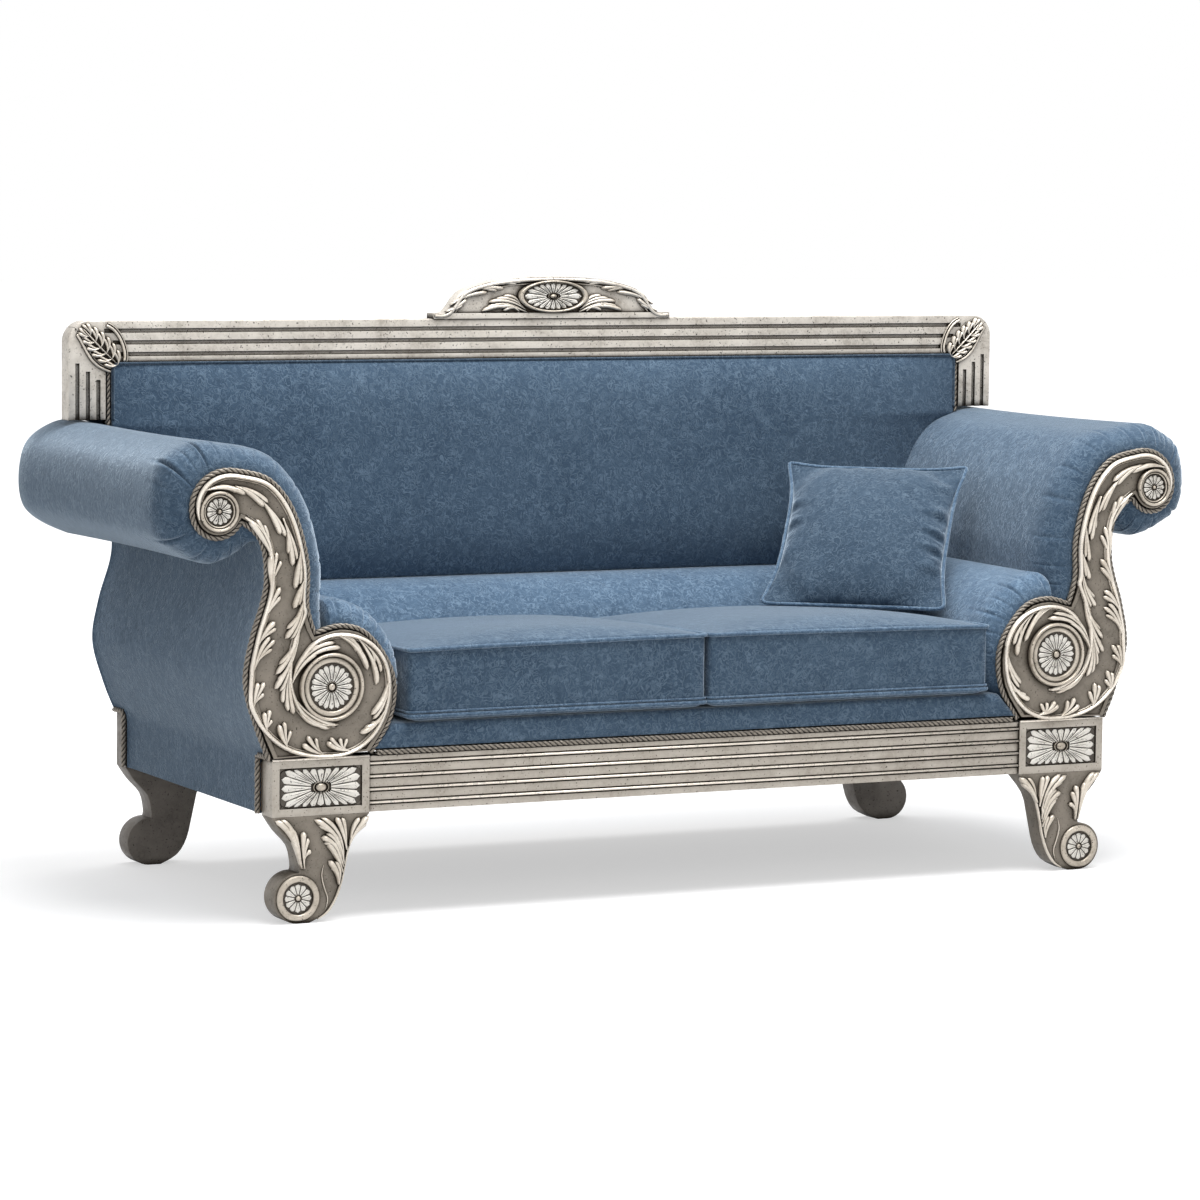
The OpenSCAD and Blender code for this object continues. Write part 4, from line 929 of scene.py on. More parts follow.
def velvet(name, shade=1.0):
    """Cotton velvet: a brushed pile that lies in short curls and catches the light at a low angle."""
    made, tree, cloth, place = new_finish(name)
    curl = maths(tree, "PINGPONG", maths(tree, "MULTIPLY", noise(tree, place, 62, 1.5, 1.9), 6.0), 1.0)
    broken = ramp(tree, noise(tree, place, 48, 3, 0.8), (0.34, 0.25), (0.62, 1))
    curl = blended(tree, 1.0, ramp(tree, curl, (0.45, 0), (1.0, 1)), broken, "MULTIPLY")
    brushed = ramp(tree, noise(tree, place, 30, 5, 1.8), (0.34, 0), (0.66, 1))
    drift = ramp(tree, noise(tree, place, 5.0, 3, 0.6), (0.32, 0), (0.68, 1))
    pile = noise(tree, place, 750, 3)

    # The shade scales every colour: a darker dye for the dark piping, and lighter or darker copies of the
    # velvet that paint light and shade elsewhere.
    def shaded(red, green, blue):
        return (red * shade, green * shade, blue * shade, 1)

    base = blended(tree, drift, shaded(0.041, 0.071, 0.114), shaded(0.056, 0.093, 0.143))
    base = blended(tree, ramp(tree, brushed, (0, 0), (1, 0.55)), base, shaded(0.076, 0.122, 0.181))
    base = blended(tree, ramp(tree, curl, (0, 0), (1, 0.55)), base, shaded(0.180, 0.258, 0.345))
    specks = ramp(tree, pile, (0.35, 0.72), (0.65, 1.12))
    combed = bumped(tree, curl, 0.50, 0.0009, bumped(tree, brushed, 0.16, 0.0018))
    set_sockets(tree, cloth, {
        "Base Color": blended(tree, 1.0, base, specks, "MULTIPLY"),
        "Roughness": ramp(tree, curl, (0, 0.95), (1, 0.72)),
        "Specular IOR Level": 0.12,
        "Sheen Weight": 1.0,
        "Sheen Roughness": 0.36,
        "Sheen Tint": (0.74, 0.87, 1.0, 1),
        "Normal": bumped(tree, pile, 0.35, 0.0005, combed)})
    return made


blue_velvet = velvet("blue_velvet")
# A lighter copy of the velvet for the piping: partly rubbed wear, partly a painted highlight where it turns
# up to the light.
rubbed_lit_piping_velvet = velvet("rubbed_lit_piping_velvet", 1.35)
# A lighter copy of the velvet for the lumbar roll and the side rolls: painted light.
lit_roll_velvet = velvet("lit_roll_velvet", 1.4)
pad_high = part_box("arm_pad_right")[1]
rear_y = rear_high.y
back_face = frame_face
pad_thick = 0.048
back_share = 0.2
pad_round = 0.080
arm_roll_c = scroll_c + np.array([-0.001, 0.013])
arm_roll_radius = 0.112


def arm_roll_point(a):
    return arm_roll_c + arm_roll_radius * np.array([math.cos(math.radians(a)), math.sin(math.radians(a))])


def clamped(x):
    return min(max(x, 0.0), 1.0)


def creases(along, pleats, width, ridge_off, ridge_width):
    """How far pleats draw the cloth in along a line, with a low ridge on both sides of each."""
    drawn = np.zeros(len(along))
    for place, depth in pleats:
        drawn += depth * np.exp(-((along - place) / width) ** 2)
        drawn -= depth * 0.30 * np.exp(-((np.abs(along - place) - ridge_off) / ridge_width) ** 2)
    return drawn


def pleat_fade(y, reach, start):
    """The pleats' depth at y: from the front edge it rises, then dies out at the reach."""
    deep = (y - pad_start) / reach
    return max(0, math.sin(math.pi * min(1, start + deep * (1 - start)))) if deep < 1 else 0


pad_steps = 60
arm_knots = [arm_point(1, -101, 54), arm_point(1, -149, -6), arm_point(0.6, -87, 31),
             arm_point(0.3, -20, 52), arm_point(0.3, -35, 4)]
knot_ways = [(-0.5, 0.87), (-0.9, 0.44), (-1, 0.05), (-1, 0.1), (-0.68, 0.14)]
pad_inside = smooth_line([arm_point(1, -84.5, -53.5)]
                         + [scroll_point(a) for a in (-158, -122, -90, -30, 30, 75, 114)]
                         + arm_knots, pad_steps)
pad_outside = smooth_line([arm_point(1, -77, -61)]
                          + [arm_roll_point(a) for a in (-128, -108, -85, -30, 30, 72, 108)]
                          + [knot + pad_thick * np.array(way) for knot, way in zip(arm_knots, knot_ways)],
                          pad_steps)
pad_start = front_y + 2 * rope_radius + 0.0003
pad_full = pad_start + pad_round
pad_end = rear_y - 0.003
end_round = 0.018
arm_pleats = ((1.2, 0.5), (1.95, 0.8), (2.6, 0.4), (3.2, 1.0), (3.8, 1.2), (4.35, 0.3), (4.8, 0.3),
              (5.27, 1.3), (5.7, 0.3), (6.1, 1.2), (6.6, 0.45), (7.1, 0.5), (7.6, 0.4), (8.1, 0.45),
              (8.7, 0.4), (9.3, 0.45), (10.0, 0.35), (10.7, 0.35), (11.3, 0.3))
front_round = np.radians(np.linspace(6, 90, 16))
rear_round = np.radians(np.linspace(90, 20, 7))[1:]
pad_stations = [(pad_start + pad_round * (1 - math.cos(a)), math.sqrt(1 - max(0.0, math.cos(a)) ** 2.7))
                for a in front_round]
pad_stations += [(y, 1.0) for y in np.linspace(pad_full, pad_end - end_round, 16)[1:]]
pad_stations += [(pad_end - end_round * (1 - math.cos(a)), math.sin(a)) for a in rear_round]
where = np.arange(len(pad_inside)) / pad_steps
inner_part = np.clip((where - 7) / 3, 0, 1)
arm_creases = creases(where, arm_pleats, 0.034, 0.10, 0.06)
pleat_reach = 0.085
pleat_sink = 0.085
for side, sign in SIDES:
    rings = []
    for y, swell in pad_stations:
        back = clamped((y - pad_full) / (back_face - pad_full))
        share = swell * (1 - inner_part * back * (1 - back_share))
        share = share - arm_creases * pleat_fade(y, pleat_reach, 0.22) ** 0.9 * pleat_sink
        slack = 0.004 * math.sin(math.pi * clamped((y - pad_full) / (pad_end - pad_full)))
        out = pad_inside + (pad_outside - pad_inside) * share[:, None]
        out = out + normals(out) * -slack * (np.sin(np.pi * np.clip((where - 1) / 8, 0, 1)))[:, None]
        rings.append(np.concatenate([at_depth(out, y, sign), at_depth(pad_inside[::-20], y, sign)]))
    pad = lofted("padded_arm_" + side, rings, blue_velvet)
    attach(pad, "root")
    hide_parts("arm_pad_" + side)

# Side rolls: a stuffed roll along each side of the seat, below the arm's inner face, with its
# front end pleated round the lower scroll of the facing.
side_roll_c = roll_c + np.array([0, 0.007])
side_roll_radius = 0.154
roll_edge_round = 0.044
seam_start = arm_point(0.3, -35, 4)[0] - pad_thick * 0.68 - 0.0032
flare = pad_thick * 0.5 / (back_face - pad_full)
roll_end = 242
roll_pleats = ((98, 0.9), (112, 0.5), (124, 0.9), (137, 0.35), (150, 0.4), (164, 0.3), (181, 0.3),
               (200, 0.35), (222, 0.6))
roll_stations = [(pad_start + roll_edge_round * (1 - math.cos(a)),
                  side_roll_radius - roll_edge_round * (1 - math.sin(a)))
                 for a in np.radians(np.linspace(0, 90, 14))]
roll_stations += [(y, side_roll_radius)
                  for y in np.linspace(pad_start + roll_edge_round, back_face - 0.0003, 16)[1:]]
turns = np.linspace(0, 1, 240)
roll_pleat_reach = 0.08
roll_pleat_sink = 0.0060
for side, sign in SIDES:
    rings = []
    for y, radius in roll_stations:
        seam_x = seam_start + flare * (y - pad_start) - side_roll_c[0]
        first = math.degrees(math.acos(max(-1, min(1, seam_x / side_roll_radius))))
        angle = first + (roll_end - first) * turns
        crease = creases(angle, roll_pleats, 1.1, 3.2, 1.8) * pleat_fade(y, roll_pleat_reach, 0.2)
        dip = 0.006 * np.exp(-((angle - first) / 3.5)) + 0.003 * np.exp(-((roll_end - angle) / 4))
        r = radius - crease * roll_pleat_sink - dip
        line = side_roll_c + np.stack([np.cos(np.radians(angle)), np.sin(np.radians(angle))], 1) * r[:, None]
        core = np.array([line[-1] + (0.05, 0.002), side_roll_c + (0.0, -0.06), line[0] + (0.0005, -0.05)])
        rings.append(at_depth(np.concatenate([line, core]), y, sign))
    roll = lofted("side_roll_soft_" + side, rings, lit_roll_velvet)
    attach(roll, "root")
    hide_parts("side_roll_" + side)

# Outer sides: velvet over a curved panel, tacked behind the ropes and drawn down over the side
# rail. It is a skin with a little wadding, so it swells slightly between its edges.
side_line = eased(even_line(outer_line[: 5 * curve_steps + 1], 0.006), 4)
drop = np.array([(block_out + 0.001, z) for z in np.linspace(leg_top + 0.001, frame_top - 0.004, 18)])
side_line = eased(np.concatenate([drop, side_line]), 3)
outward = normals(side_line)
notch = frame_top + 2 * rope_radius + 0.0003
across = np.concatenate([[0, 0.004, 0.012, 0.03], np.linspace(0.06, 0.94, 24), [0.97, 0.988, 0.996, 1]])
puff = 0.003 * np.minimum(1, np.minimum(across, 1 - across) * 26) ** 0.5
for side, sign in SIDES:
    rows = []
    for i, (point, way) in enumerate(zip(side_line, outward)):
        low_part = point[1] < notch
        first = block_back + 2 * rope_radius if low_part else pad_start
        last = rear_low.y - 2 * rope_radius if low_part else rear_y - 0.003
        belly = 0.0035 * np.sin(np.pi * across) * math.sin(math.pi * i / (len(side_line) - 1))
        row = []
        for t, swell in zip(across, puff + belly):
            out = point - way * swell
            row.append((sign * out[0], first + (last - first) * t, out[1]))
        rows.append(row)
    inner_rows = [[(sign * (abs(x) - 0.006), y, z) for x, y, z in row] for row in rows]
    rings = [outer + inner[::-1] for outer, inner in zip(rows, inner_rows)]
    panel = lofted("outer_side_" + side, rings, blue_velvet, 70)
    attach(panel, "root")
    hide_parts("side_panel_" + side)
    eased_copy("arm_back_board_" + side, blue_velvet, 0.003)

# Padded back and lumbar roll: a crowned pad drawn into the back frame with a piped top edge, and
# a half roll along the back of the seat below it.
pad_box_low, pad_box_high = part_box("back_pad")
pad_half = pad_box_high.x


def arm_face_at_back():
    """The arm's inner face where the padded back meets it, from the arm's foot up."""
    share = 1 - inner_part * (1 - back_share)
    line = pad_inside + (pad_outside - pad_inside) * share[:, None]
    return line[7 * pad_steps:][::-1]


arm_at_back = arm_face_at_back()
order = np.argsort(arm_at_back[:, 1])


def back_width(z):
    if z > pad_high.z:
        return pad_half
    width = np.interp(z, arm_at_back[order, 1], arm_at_back[order, 0])
    rise = max(z - side_roll_c[1], 0)
    if rise < side_roll_radius:
        width = min(width, side_roll_c[0] - math.sqrt(side_roll_radius ** 2 - rise ** 2))
    return min(pad_half, width + 0.004)


rings = []
nz, nx = 90, 150
corner_round = 0.012
for j in range(nz + 1):
    z = pad_box_low.z + (pad_box_high.z - pad_box_low.z) * (j / nz)
    v = 2 * j / nz - 1
    short = max(0.0, corner_round - (pad_box_high.z - z))
    width = back_width(z) - (corner_round - math.sqrt(corner_round ** 2 - short ** 2))
    row = []
    for i in range(nx + 1):
        u = math.sin(math.pi / 2 * (2 * i / nx - 1))
        crown = 0.027 * (1 - abs(u) ** 8) * (1 - abs(v) ** 4.5)
        row.append((u * width, back_face - 0.002 - crown, z))
    rings.append(row + [(x, pad_box_high.y, z) for x, y, z in row[::-10]])
back_pad = lofted("padded_back", rings, blue_velvet)
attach(back_pad, "root")
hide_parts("back_pad")

dark_piping = velvet("dark_velvet", 0.55)


def over_top(x, y, z, turn, foot):
    """A line up one side, over the top with round corners and down the other side, all at y."""
    corner = [(x - turn * (1 - math.sin(a)), z - turn * (1 - math.cos(a)))
              for a in np.linspace(0, math.pi / 2, 7)]
    half_line = [(0.0, z)] + corner + [(x, foot)]
    return even_line([(-u, y, v) for u, v in half_line[::-1]] + [(u, y, v) for u, v in half_line[1:]], 0.004)


piping = Pile()
top_line = over_top(pad_half - 0.001, back_face - 0.003, rail_under - 0.0015, corner_round,
                    pad_high.z + 0.002)
piping.loft(bead_rings(top_line, 0.0030, 0.0030))
back_cord = piping.piece("back_piping", dark_piping)
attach(back_cord, "root")

lumbar_y, lumbar_z = back_face + 0.005, 0.416
lumbar_radius = 0.150
deck_low, deck_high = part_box("seat_platform")


def roll_face(z):
    """Half the room between the two side rolls at a height."""
    rise = z - side_roll_c[1]
    return side_roll_c[0] - math.sqrt(max(side_roll_radius ** 2 - rise ** 2, 0))


rings = []
for u in np.linspace(-1, 1, 121):
    ring = []
    for a in np.radians(np.linspace(92, 220, 61)):
        z = lumbar_z + lumbar_radius * math.sin(a)
        x = u * min(roll_face(z) + 0.004, roll_c[0])
        sag = 0.0012 * math.sin(7 * x + 1) * math.cos(5 * a)
        y = lumbar_y + (lumbar_radius + sag) * math.cos(a)
        ring.append((x, min(y, back_face - 0.0003), max(z, deck_high.z)))
    ring.append((ring[-1][0], back_face - 0.0003, ring[-1][2]))
    rings.append(ring)
lumbar = lofted("lumbar_roll_soft", rings, lit_roll_velvet)
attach(lumbar, "root")
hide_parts("lumbar_roll")

# Seat deck: the sprung platform under the cushions, covered in velvet, with a soft front band
# that comes down to the rope and one upright seam near its middle.
deck_front, deck_top = deck_low.y, deck_high.z
deck_round = 0.010
profile = [(y, deck_top) for y in np.linspace(deck_high.y, deck_front + 0.06, 9)]
profile += [(deck_front + deck_round * (1 - math.sin(a)), deck_top - deck_round * (1 - math.cos(a)))
            for a in np.radians(np.linspace(0, 90, 9))]
profile += [(deck_front - 0.001, z) for z in np.linspace(deck_top - 0.014, frame_top + 0.0135, 8)]
profile += [(deck_front + 0.004, frame_top + 0.0128), (deck_front + 0.012, frame_top + 0.0126),
            (deck_high.y, frame_top + 0.0126)]
seam_x = -0.012
deck_half = 0.7
seam_columns = {seam_x / deck_half + d for d in (-0.006, -0.003, 0, 0.003, 0.006)}
rings = []
for u in sorted(set(np.linspace(-1, 1, 81)) | seam_columns):
    groove = 0.0022 * math.exp(-((u * deck_half - seam_x) / 0.0022) ** 2)
    rings.append([(u * min(roll_face(z) + 0.003, block_in), y + groove if y < deck_front + 0.02 else y, z)
                  for y, z in profile])
deck = lofted("seat_deck", rings, blue_velvet)
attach(deck, "root")
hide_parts("seat_platform")

# Seat cushions: feather and foam in a boxed velvet cover with piped seams. They lie loose on
# the deck, side by side, and lift off.


def soften(piece, voxel, pressure, cap, held, frames=16):
    """Blows the piece up a little as cloth that is held along its seams, and keeps the result."""
    if voxel:
        remesh = piece.modifiers.new("even", "REMESH")
        remesh.mode = "VOXEL"
        remesh.voxel_size = voxel
        mesh = worked_mesh(piece)
        piece.modifiers.clear()
        piece.data = mesh
    mesh = piece.data
    before = np.array([v.co for v in mesh.vertices])
    pins = piece.vertex_groups.new(name="seams")
    pins.add([int(k) for k in np.nonzero(held(before))[0]], 1.0, "REPLACE")
    cloth = piece.modifiers.new("cloth", "CLOTH")
    cloth.settings.quality = 5
    cloth.settings.use_pressure = True
    cloth.settings.uniform_pressure_force = pressure
    cloth.settings.effector_weights.gravity = 0
    cloth.settings.tension_stiffness = 18
    cloth.settings.compression_stiffness = 18
    cloth.settings.shear_stiffness = 8
    cloth.settings.bending_stiffness = 1.5
    cloth.settings.vertex_group_mass = "seams"
    cloth.point_cache.frame_start = 1
    cloth.point_cache.frame_end = frames
    for number in range(1, frames + 1):
        bpy.context.scene.frame_set(number)
    found = piece.evaluated_get(bpy.context.evaluated_depsgraph_get())
    after = np.array([v.co for v in found.data.vertices])
    piece.modifiers.clear()
    bpy.context.scene.frame_set(1)
    move = after - before
    size = np.maximum(np.linalg.norm(move, axis=1, keepdims=True), 1e-9)
    after = before + move * np.minimum(1, cap / size)
    mesh.vertices.foreach_set("co", after.ravel())
    mesh.update()
    piece.vertex_groups.clear()


def subdivided(piece):
    step = piece.modifiers.new("fine", "SUBSURF")
    step.levels = step.render_levels = 1
    mesh = worked_mesh(piece)
    piece.modifiers.clear()
    piece.data = mesh
    mesh.shade_smooth()


def seam_cord(name, path, radius, material, body):
    """Piping: a closed cord along a path."""
    path = np.array(path, float)
    way = np.roll(path, -1, axis=0) - np.roll(path, 1, axis=0)
    way /= np.maximum(np.linalg.norm(way, axis=1, keepdims=True), 1e-9)
    up = np.array([0.0, 0.0, 1.0])
    rings = []
    turns = np.arange(8) * math.pi / 4
    for p, t in zip(path, way):
        side_way = np.cross(t, up)
        if np.linalg.norm(side_way) < 0.2:
            side_way = np.cross(t, np.array([0.0, 1.0, 0.0]))
        side_way /= np.linalg.norm(side_way)
        third = np.cross(side_way, t)
        rings.append(p + radius * (np.outer(np.cos(turns), side_way) + np.outer(np.sin(turns), third)))
    rings.append(rings[0])
    pile = Pile()
    pile.loft(rings, ends=False)
    cord = pile.piece(name, material)
    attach(cord, body)


cushion_corner = 0.013
crown = 0.025
welt_low = deck_top + 0.0123
welt_high = deck_top + 0.140
for side, sign in SIDES:
    low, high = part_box("seat_cushion_" + side)
    centre = (low + high) / 2
    half = (high - low) / 2

    def outline(grow):
        """The cushion's edge from above: round corners, and sides that are drawn in a little."""
        turn = cushion_corner + grow
        corners = [np.array([x * (half.x - cushion_corner), y * (half.y - cushion_corner)])
                   for x, y in ((1, 1), (-1, 1), (-1, -1), (1, -1))]
        points = []
        for q in range(4):
            for a in np.radians(90 * q + 15 * np.arange(7)):
                way = np.array([math.cos(a), math.sin(a)])
                points.append(corners[q] + turn * way)
            last = points[-1]
            target = corners[(q + 1) % 4] + turn * way
            for t in np.arange(1, 48) / 48:
                points.append(last + (target - last) * t - way * 0.020 * t * (1 - t))
        return np.array(points)

    def settle(x, y, z):
        """The cushion sinks towards the back of the seat and a little towards the arm."""
        height = max(0.0, (z - low.z) / (welt_high - low.z))
        back = (y - low.y) / (high.y - low.y)
        outer = abs(x) / max(abs(low.x), abs(high.x))
        return z - height * (0.022 * back ** 1.3 + 0.006 * (outer - 0.5))

    base = outline(-0.002)
    belly = welt_low - low.z
    levels = [(s, low.z) for s in (0.3, 0.6, 0.8, 0.9)]
    levels += [(s, low.z + belly * f) for s, f in ((0.95, 0.12), (0.98, 0.4), (0.992, 0.72), (1.0, 1.0))]
    levels += [(1.0, welt_low + (welt_high - welt_low) * t) for t in np.linspace(0, 1, 14)[1:]]
    levels += [(s, welt_high) for s in (0.99, 0.97, 0.945, 0.91, 0.87, 0.82, 0.76, 0.69)]
    levels += [(s, welt_high) for s in (0.6, 0.5, 0.4, 0.3, 0.2, 0.1)]
    rings = []
    for s, z in levels:
        ring = []
        for p in base:
            rise = 0.0
            if s < 1 and z >= welt_high:
                u, v = abs(p[0] * s) / half.x, abs(p[1] * s) / half.y
                rise = crown * (max(0.0, 1 - u ** 2.6) * max(0.0, 1 - v ** 6)) ** 0.8
            x, y = centre.x + p[0] * s, centre.y + p[1] * s
            ring.append((x, y, settle(x, y, z + rise)))
        rings.append(ring)
    cushion = lofted("seat_cushion_soft_" + side, rings, blue_velvet, 60)

    def welts(points):
        inward = np.maximum(np.abs(points[:, 0] - centre.x) - half.x,
                            np.abs(points[:, 1] - centre.y) - half.y)
        top = np.array([settle(x, y, welt_high) for x, y, z in points])
        bottom = np.array([settle(x, y, welt_low) for x, y, z in points])
        near = (np.abs(points[:, 2] - top) < 0.007) | (np.abs(points[:, 2] - bottom) < 0.009)
        return ((inward > -0.016) & near) | (points[:, 2] < low.z + 0.004)

    soften(cushion, 0.0075, 3.0, 0.007, welts)
    subdivided(cushion)
    shape = bmesh.new()
    shape.from_mesh(cushion.data)
    skin = BVHTree.FromBMesh(shape)
    shape.free()
    for label, z, radius in (("top", welt_high, 0.0042), ("bottom", welt_low, 0.0042),
                             ("bottom_inner", welt_low + 0.008, 0.0022)):
        path = []
        for p in outline(0.0):
            x, y = centre.x + p[0], centre.y + p[1]
            aim = Vector((x, y, settle(x, y, z)))
            found = skin.find_nearest(aim)
            path.append(found[0] * 0.3 + aim * 0.7)
        seam_cord("cushion_piping_" + label + "_" + side, path, radius, rubbed_lit_piping_velvet, "seat_cushion_" + side)
    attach(cushion, "seat_cushion_" + side)
    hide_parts("seat_cushion_" + side)

# Throw pillow: two squares of velvet sewn together over a feather pad, with a piped seam that
# stands out as small ears at the corners. It leans in the corner of the seat, loose.
pillow_place = Vector((0.556, front_y + 0.370, deck_top + 0.2924))
pillow_turn = Matrix.Rotation(math.radians(-40.3), 4, "Z") @ Matrix.Rotation(math.radians(-44.6), 4, "X")
pillow_half = 0.193
pillow_full = 0.062
# A darker copy of the velvet for the pillow: painted shade.
shaded_pillow_velvet = velvet("shaded_pillow_velvet", 0.74)
cells = 80
points, faces, grid = [], [], []
index = {}
for face in (-1, 1):
    for j in range(cells + 1):
        for i in range(cells + 1):
            rim = i in (0, cells) or j in (0, cells)
            key = (0 if rim else face, i, j)
            if key in index:
                continue
            u, v = 2 * i / cells - 1, 2 * j / cells - 1
            index[key] = len(points)
            grid.append((u, v, 0 if rim else face))
            side_in = 0.130 if u > 0 else 0.160
            end_in = 0.105 if v > 0 else 0.030
            tip = 1 - 0.055 * abs(u * v) ** 12
            body = ((1 - u ** 2) * (1 - v ** 2)) ** 0.5
            points.append((pillow_half * tip * u * (1 - side_in * (1 - abs(v) ** 3.2)),
                           face * pillow_full * 0.5 * body,
                           pillow_half * tip * v * (1 - end_in * (1 - abs(u) ** 4.5))))
for face in (-1, 1):
    for j in range(cells):
        for i in range(cells):
            corner = []
            for di, dj in ((0, 0), (1, 0), (1, 1), (0, 1)):
                a, b = i + di, j + dj
                rim = a in (0, cells) or b in (0, cells)
                corner.append(index[(0 if rim else face, a, b)])
            faces.append(tuple(corner) if face < 0 else tuple(reversed(corner)))
pillow = new_piece("throw_pillow_soft", points, faces, shaded_pillow_velvet)
seam = [index[(0, i, 0)] for i in range(cells)]
seam += [index[(0, cells, j)] for j in range(cells)]
seam += [index[(0, i, cells)] for i in range(cells, 0, -1)]
seam += [index[(0, 0, j)] for j in range(cells, 0, -1)]


def pillow_corners(points):
    return (np.abs(points[:, 0]) > pillow_half * 0.91) & (np.abs(points[:, 2]) > pillow_half * 0.91)


soften(pillow, 0, 6.5, 0.05, pillow_corners, 22)
shaped = np.array([v.co for v in pillow.data.vertices])
sewn = np.array(points)
for k, (u, v, face) in enumerate(grid):
    inside = min(1.0, (1 - max(abs(u), abs(v))) / 0.4)
    blown = shaped[k].copy()
    shaped[k] = sewn[k] * (1 - 0.5 * inside) + blown * 0.5 * inside
    formed = face * pillow_full * ((1 - u * u) * (1 - v * v)) ** 0.60
    shaped[k, 1] = formed * 0.82 + blown[1] * 0.18
    into_side = clamped((abs(u) - 0.58) / 0.34)
    at_seam = max(0.0, (abs(u) - 0.93) / 0.07)
    fan = v * (21 if u > 0 else 15) + 1.6 * math.sin(v * 5 + u) + (abs(u) - 0.6) * v * 4
    ruck = math.sin(fan + 0.9) + 0.5 * math.sin(fan * 1.9 + 2 * abs(u))
    ruck *= into_side * into_side * (1 - 0.7 * at_seam) * (0.0058 if u > 0 else 0.0042)
    into_end = clamped((abs(v) - 0.72) / 0.22)
    ruck += 0.0018 * math.sin(u * 23 + math.sin(u * 7)) * into_end * into_end
    ear = clamped((abs(u) + abs(v) - 1.34) / 0.40)
    shaped[k, 1] = (shaped[k, 1] + face * ruck * (1 - ear)) * (1 - 0.80 * ear * ear * (3 - 2 * ear))
shaped[:, 1] *= min(1.0, pillow_full / np.abs(shaped[:, 1]).max())
pillow.data.vertices.foreach_set("co", shaped.ravel())
pillow.data.update()
pillow.data.transform(Matrix.Translation(pillow_place) @ pillow_turn)
seam_path = np.array([pillow.data.vertices[k].co for k in seam])
subdivided(pillow)
outward = seam_path - seam_path.mean(axis=0)
outward /= np.linalg.norm(outward, axis=1, keepdims=True)
seam_path += outward * 0.0030
seam_path = even_line(np.concatenate([seam_path, seam_path[:1]]), 0.004)[:-1]
seam_cord("pillow_piping", seam_path, 0.0038, rubbed_lit_piping_velvet, "throw_pillow")
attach(pillow, "throw_pillow")
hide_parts("throw_pillow")

# Outside back: a velvet-covered board over the whole back, closed in behind the back frame. A
# cord is sewn round its edge and round the boards that close the rear of the arms.
eased_copy("outside_back", blue_velvet, 0.002)
shell_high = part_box("outside_back")[1]
board_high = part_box("arm_back_board_right")[1]
cords = Pile()
rear_line = over_top(shell_high.x - 0.0012, shell_high.y - 0.0010, shell_high.z - 0.0012, 0.008,
                     pad_high.z + 0.003)
cords.loft(bead_rings(rear_line, 0.0028, 0.0028))
for side, sign in SIDES:
    outline_at_rear = at_depth(beside(rope_line, -0.002), board_high.y - 0.0005, sign)
    cords.loft(bead_rings(outline_at_rear, 0.0030, 0.0030))
rear_cord = cords.piece("rear_piping", rubbed_lit_piping_velvet)
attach(rear_cord, "root")

# Studio: a pale floor that fades to white away from the sofa, white air round it, soft lamps
# and the camera at the photo's place.


def sees_white(tree):
    """1 for rays from the camera, and for reflected and passing rays, or else 0."""
    rays = put(tree, "ShaderNodeLightPath").outputs
    seen = maths(tree, "MAXIMUM", rays["Is Camera Ray"], rays["Is Glossy Ray"])
    return maths(tree, "MAXIMUM", seen, rays["Is Transmission Ray"])


def studio_floor():
    made = bpy.data.materials.new("studio_floor")
    made.use_nodes = True
    tree = made.node_tree
    tree.nodes.remove(tree.nodes["Principled BSDF"])
    matt = put(tree, "ShaderNodeBsdfDiffuse", {"Color": (0.62, 0.62, 0.625, 1)}).outputs[0]
    place = put(tree, "ShaderNodeTexCoord").outputs["Object"]
    away = put(tree, "ShaderNodeVectorMath", {0: place}, operation="LENGTH").outputs["Value"]
    sockets = {"Value": away, "From Min": 1.2, "From Max": 3.4, "To Min": 0.52, "To Max": 1.0}
    faded = put(tree, "ShaderNodeMapRange", sockets, interpolation_type="SMOOTHSTEP").outputs["Result"]
    glow = put(tree, "ShaderNodeEmission", {"Strength": faded}).outputs[0]
    both = put(tree, "ShaderNodeAddShader", {0: matt, 1: glow}).outputs[0]
    pick = put(tree, "ShaderNodeMixShader", {0: sees_white(tree), 1: matt, 2: both}).outputs[0]
    tree.links.new(pick, tree.nodes["Material Output"].inputs["Surface"])
    return made


floor_reach = 40.0
floor_corners = [(x * floor_reach, y * floor_reach, 0.0) for x, y in ((-1, -1), (1, -1), (1, 1), (-1, 1))]
floor = new_piece("studio_floor", floor_corners, [(0, 1, 2, 3)], studio_floor())


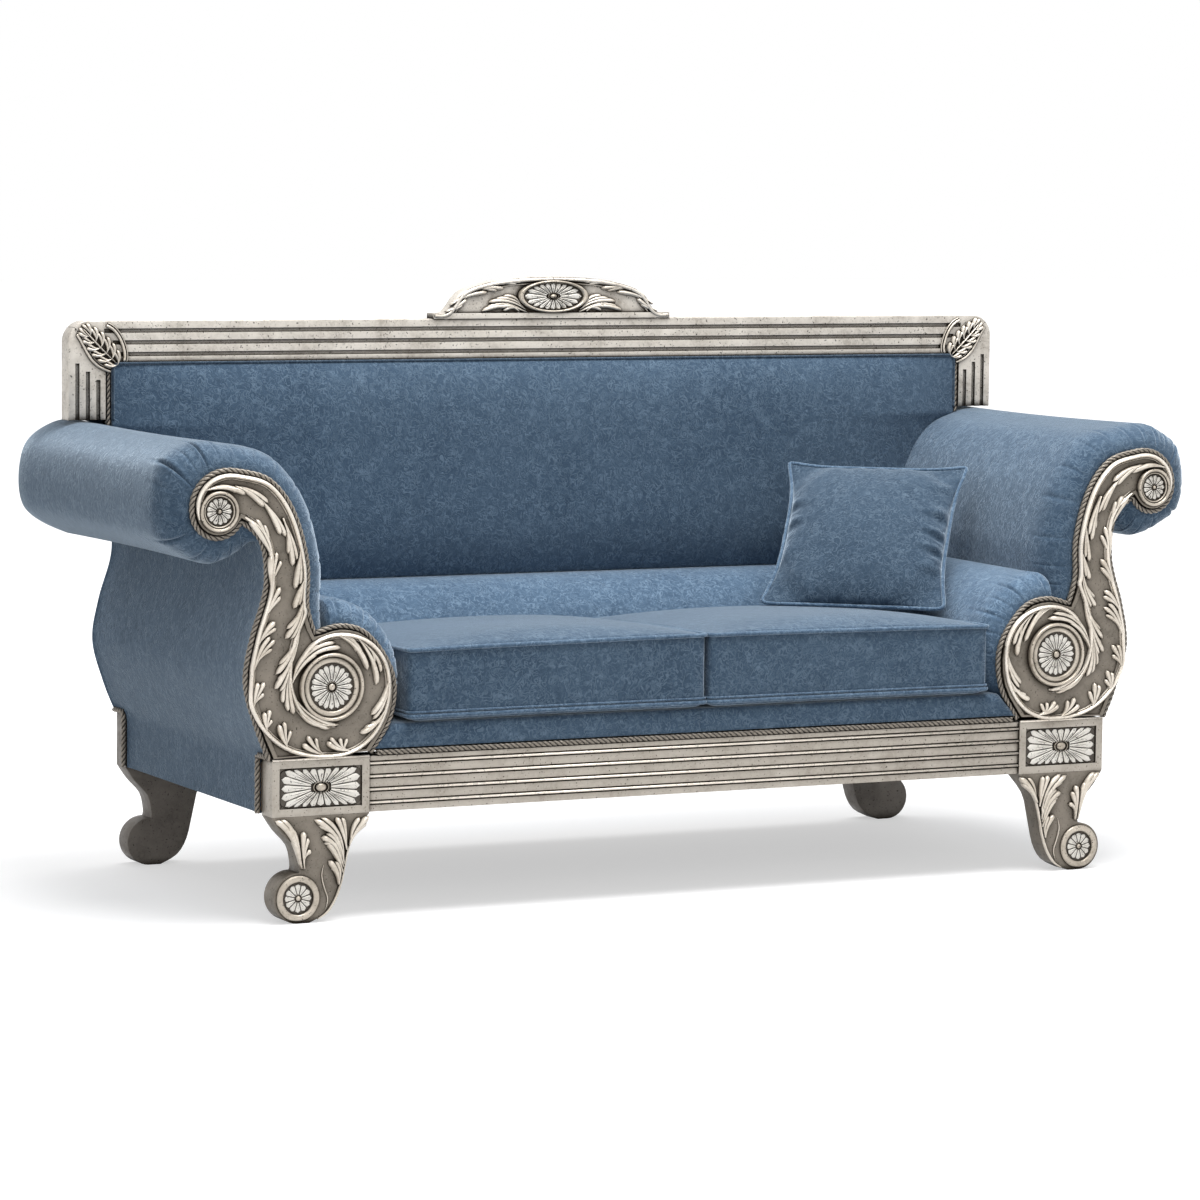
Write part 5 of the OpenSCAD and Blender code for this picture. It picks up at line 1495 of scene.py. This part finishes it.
def soft_lamp(name, place, aim, size, power):
    lamp = bpy.data.lights.new(name, "AREA")
    lamp.shape = "RECTANGLE"
    lamp.size, lamp.size_y = size
    lamp.energy = power
    holder = new_object(name, lamp)
    holder.location = place
    holder.rotation_euler = (Vector(aim) - Vector(place)).to_track_quat("-Z", "Y").to_euler()


soft_lamp("key_lamp", (0.3, -0.9, 4.4), (0, 0, 0.4), (3.2, 2.2), 250)
soft_lamp("front_lamp", (-1.2, -5.2, 2.6), (0, 0, 0.5), (4.0, 2.4), 36)
soft_lamp("side_lamp", (-4.4, -1.2, 2.4), (0, 0, 0.6), (1.8, 2.0), 15)
soft_lamp("rear_lamp", (0.2, 1.5, 4.2), (0, 0, 0.6), (3.4, 1.4), 58)
world = bpy.data.worlds.new("studio_air")
bpy.context.scene.world = world
world.use_nodes = True
air = world.node_tree
plain = air.nodes["Background"]
set_sockets(air, plain, {"Color": (1, 1, 1, 1), "Strength": 0.40})
white = put(air, "ShaderNodeBackground", {"Color": (1, 1, 1, 1), "Strength": 1.0})
pick = put(air, "ShaderNodeMixShader", {0: sees_white(air), 1: plain.outputs[0], 2: white.outputs[0]})
air.links.new(pick.outputs[0], air.nodes["World Output"].inputs["Surface"])

focal_pixels = 4545.1
photo_width = 1200
yaw, pitch, roll_angle = math.radians(26.57), math.radians(5.51), math.radians(0.637)
ahead = Vector((math.sin(yaw) * math.cos(pitch), math.cos(yaw) * math.cos(pitch), -math.sin(pitch)))
across = Vector((math.cos(yaw), -math.sin(yaw), 0))
above = across.cross(ahead)
turned_across = across * math.cos(roll_angle) + above * math.sin(roll_angle)
turned_above = above * math.cos(roll_angle) - across * math.sin(roll_angle)
pose = Matrix((turned_across, turned_above, -ahead)).transposed().to_4x4()
pose.translation = Vector((-4.0608, -7.6555 + front_y, 1.405))
lens = bpy.data.cameras.new("camera")
lens.sensor_width = 36
lens.lens = focal_pixels / photo_width * lens.sensor_width
lens.clip_end = 60
camera = new_object("camera", lens)
camera.matrix_world = pose
bpy.context.scene.camera = camera
bpy.context.scene.view_settings.view_transform = "Standard"
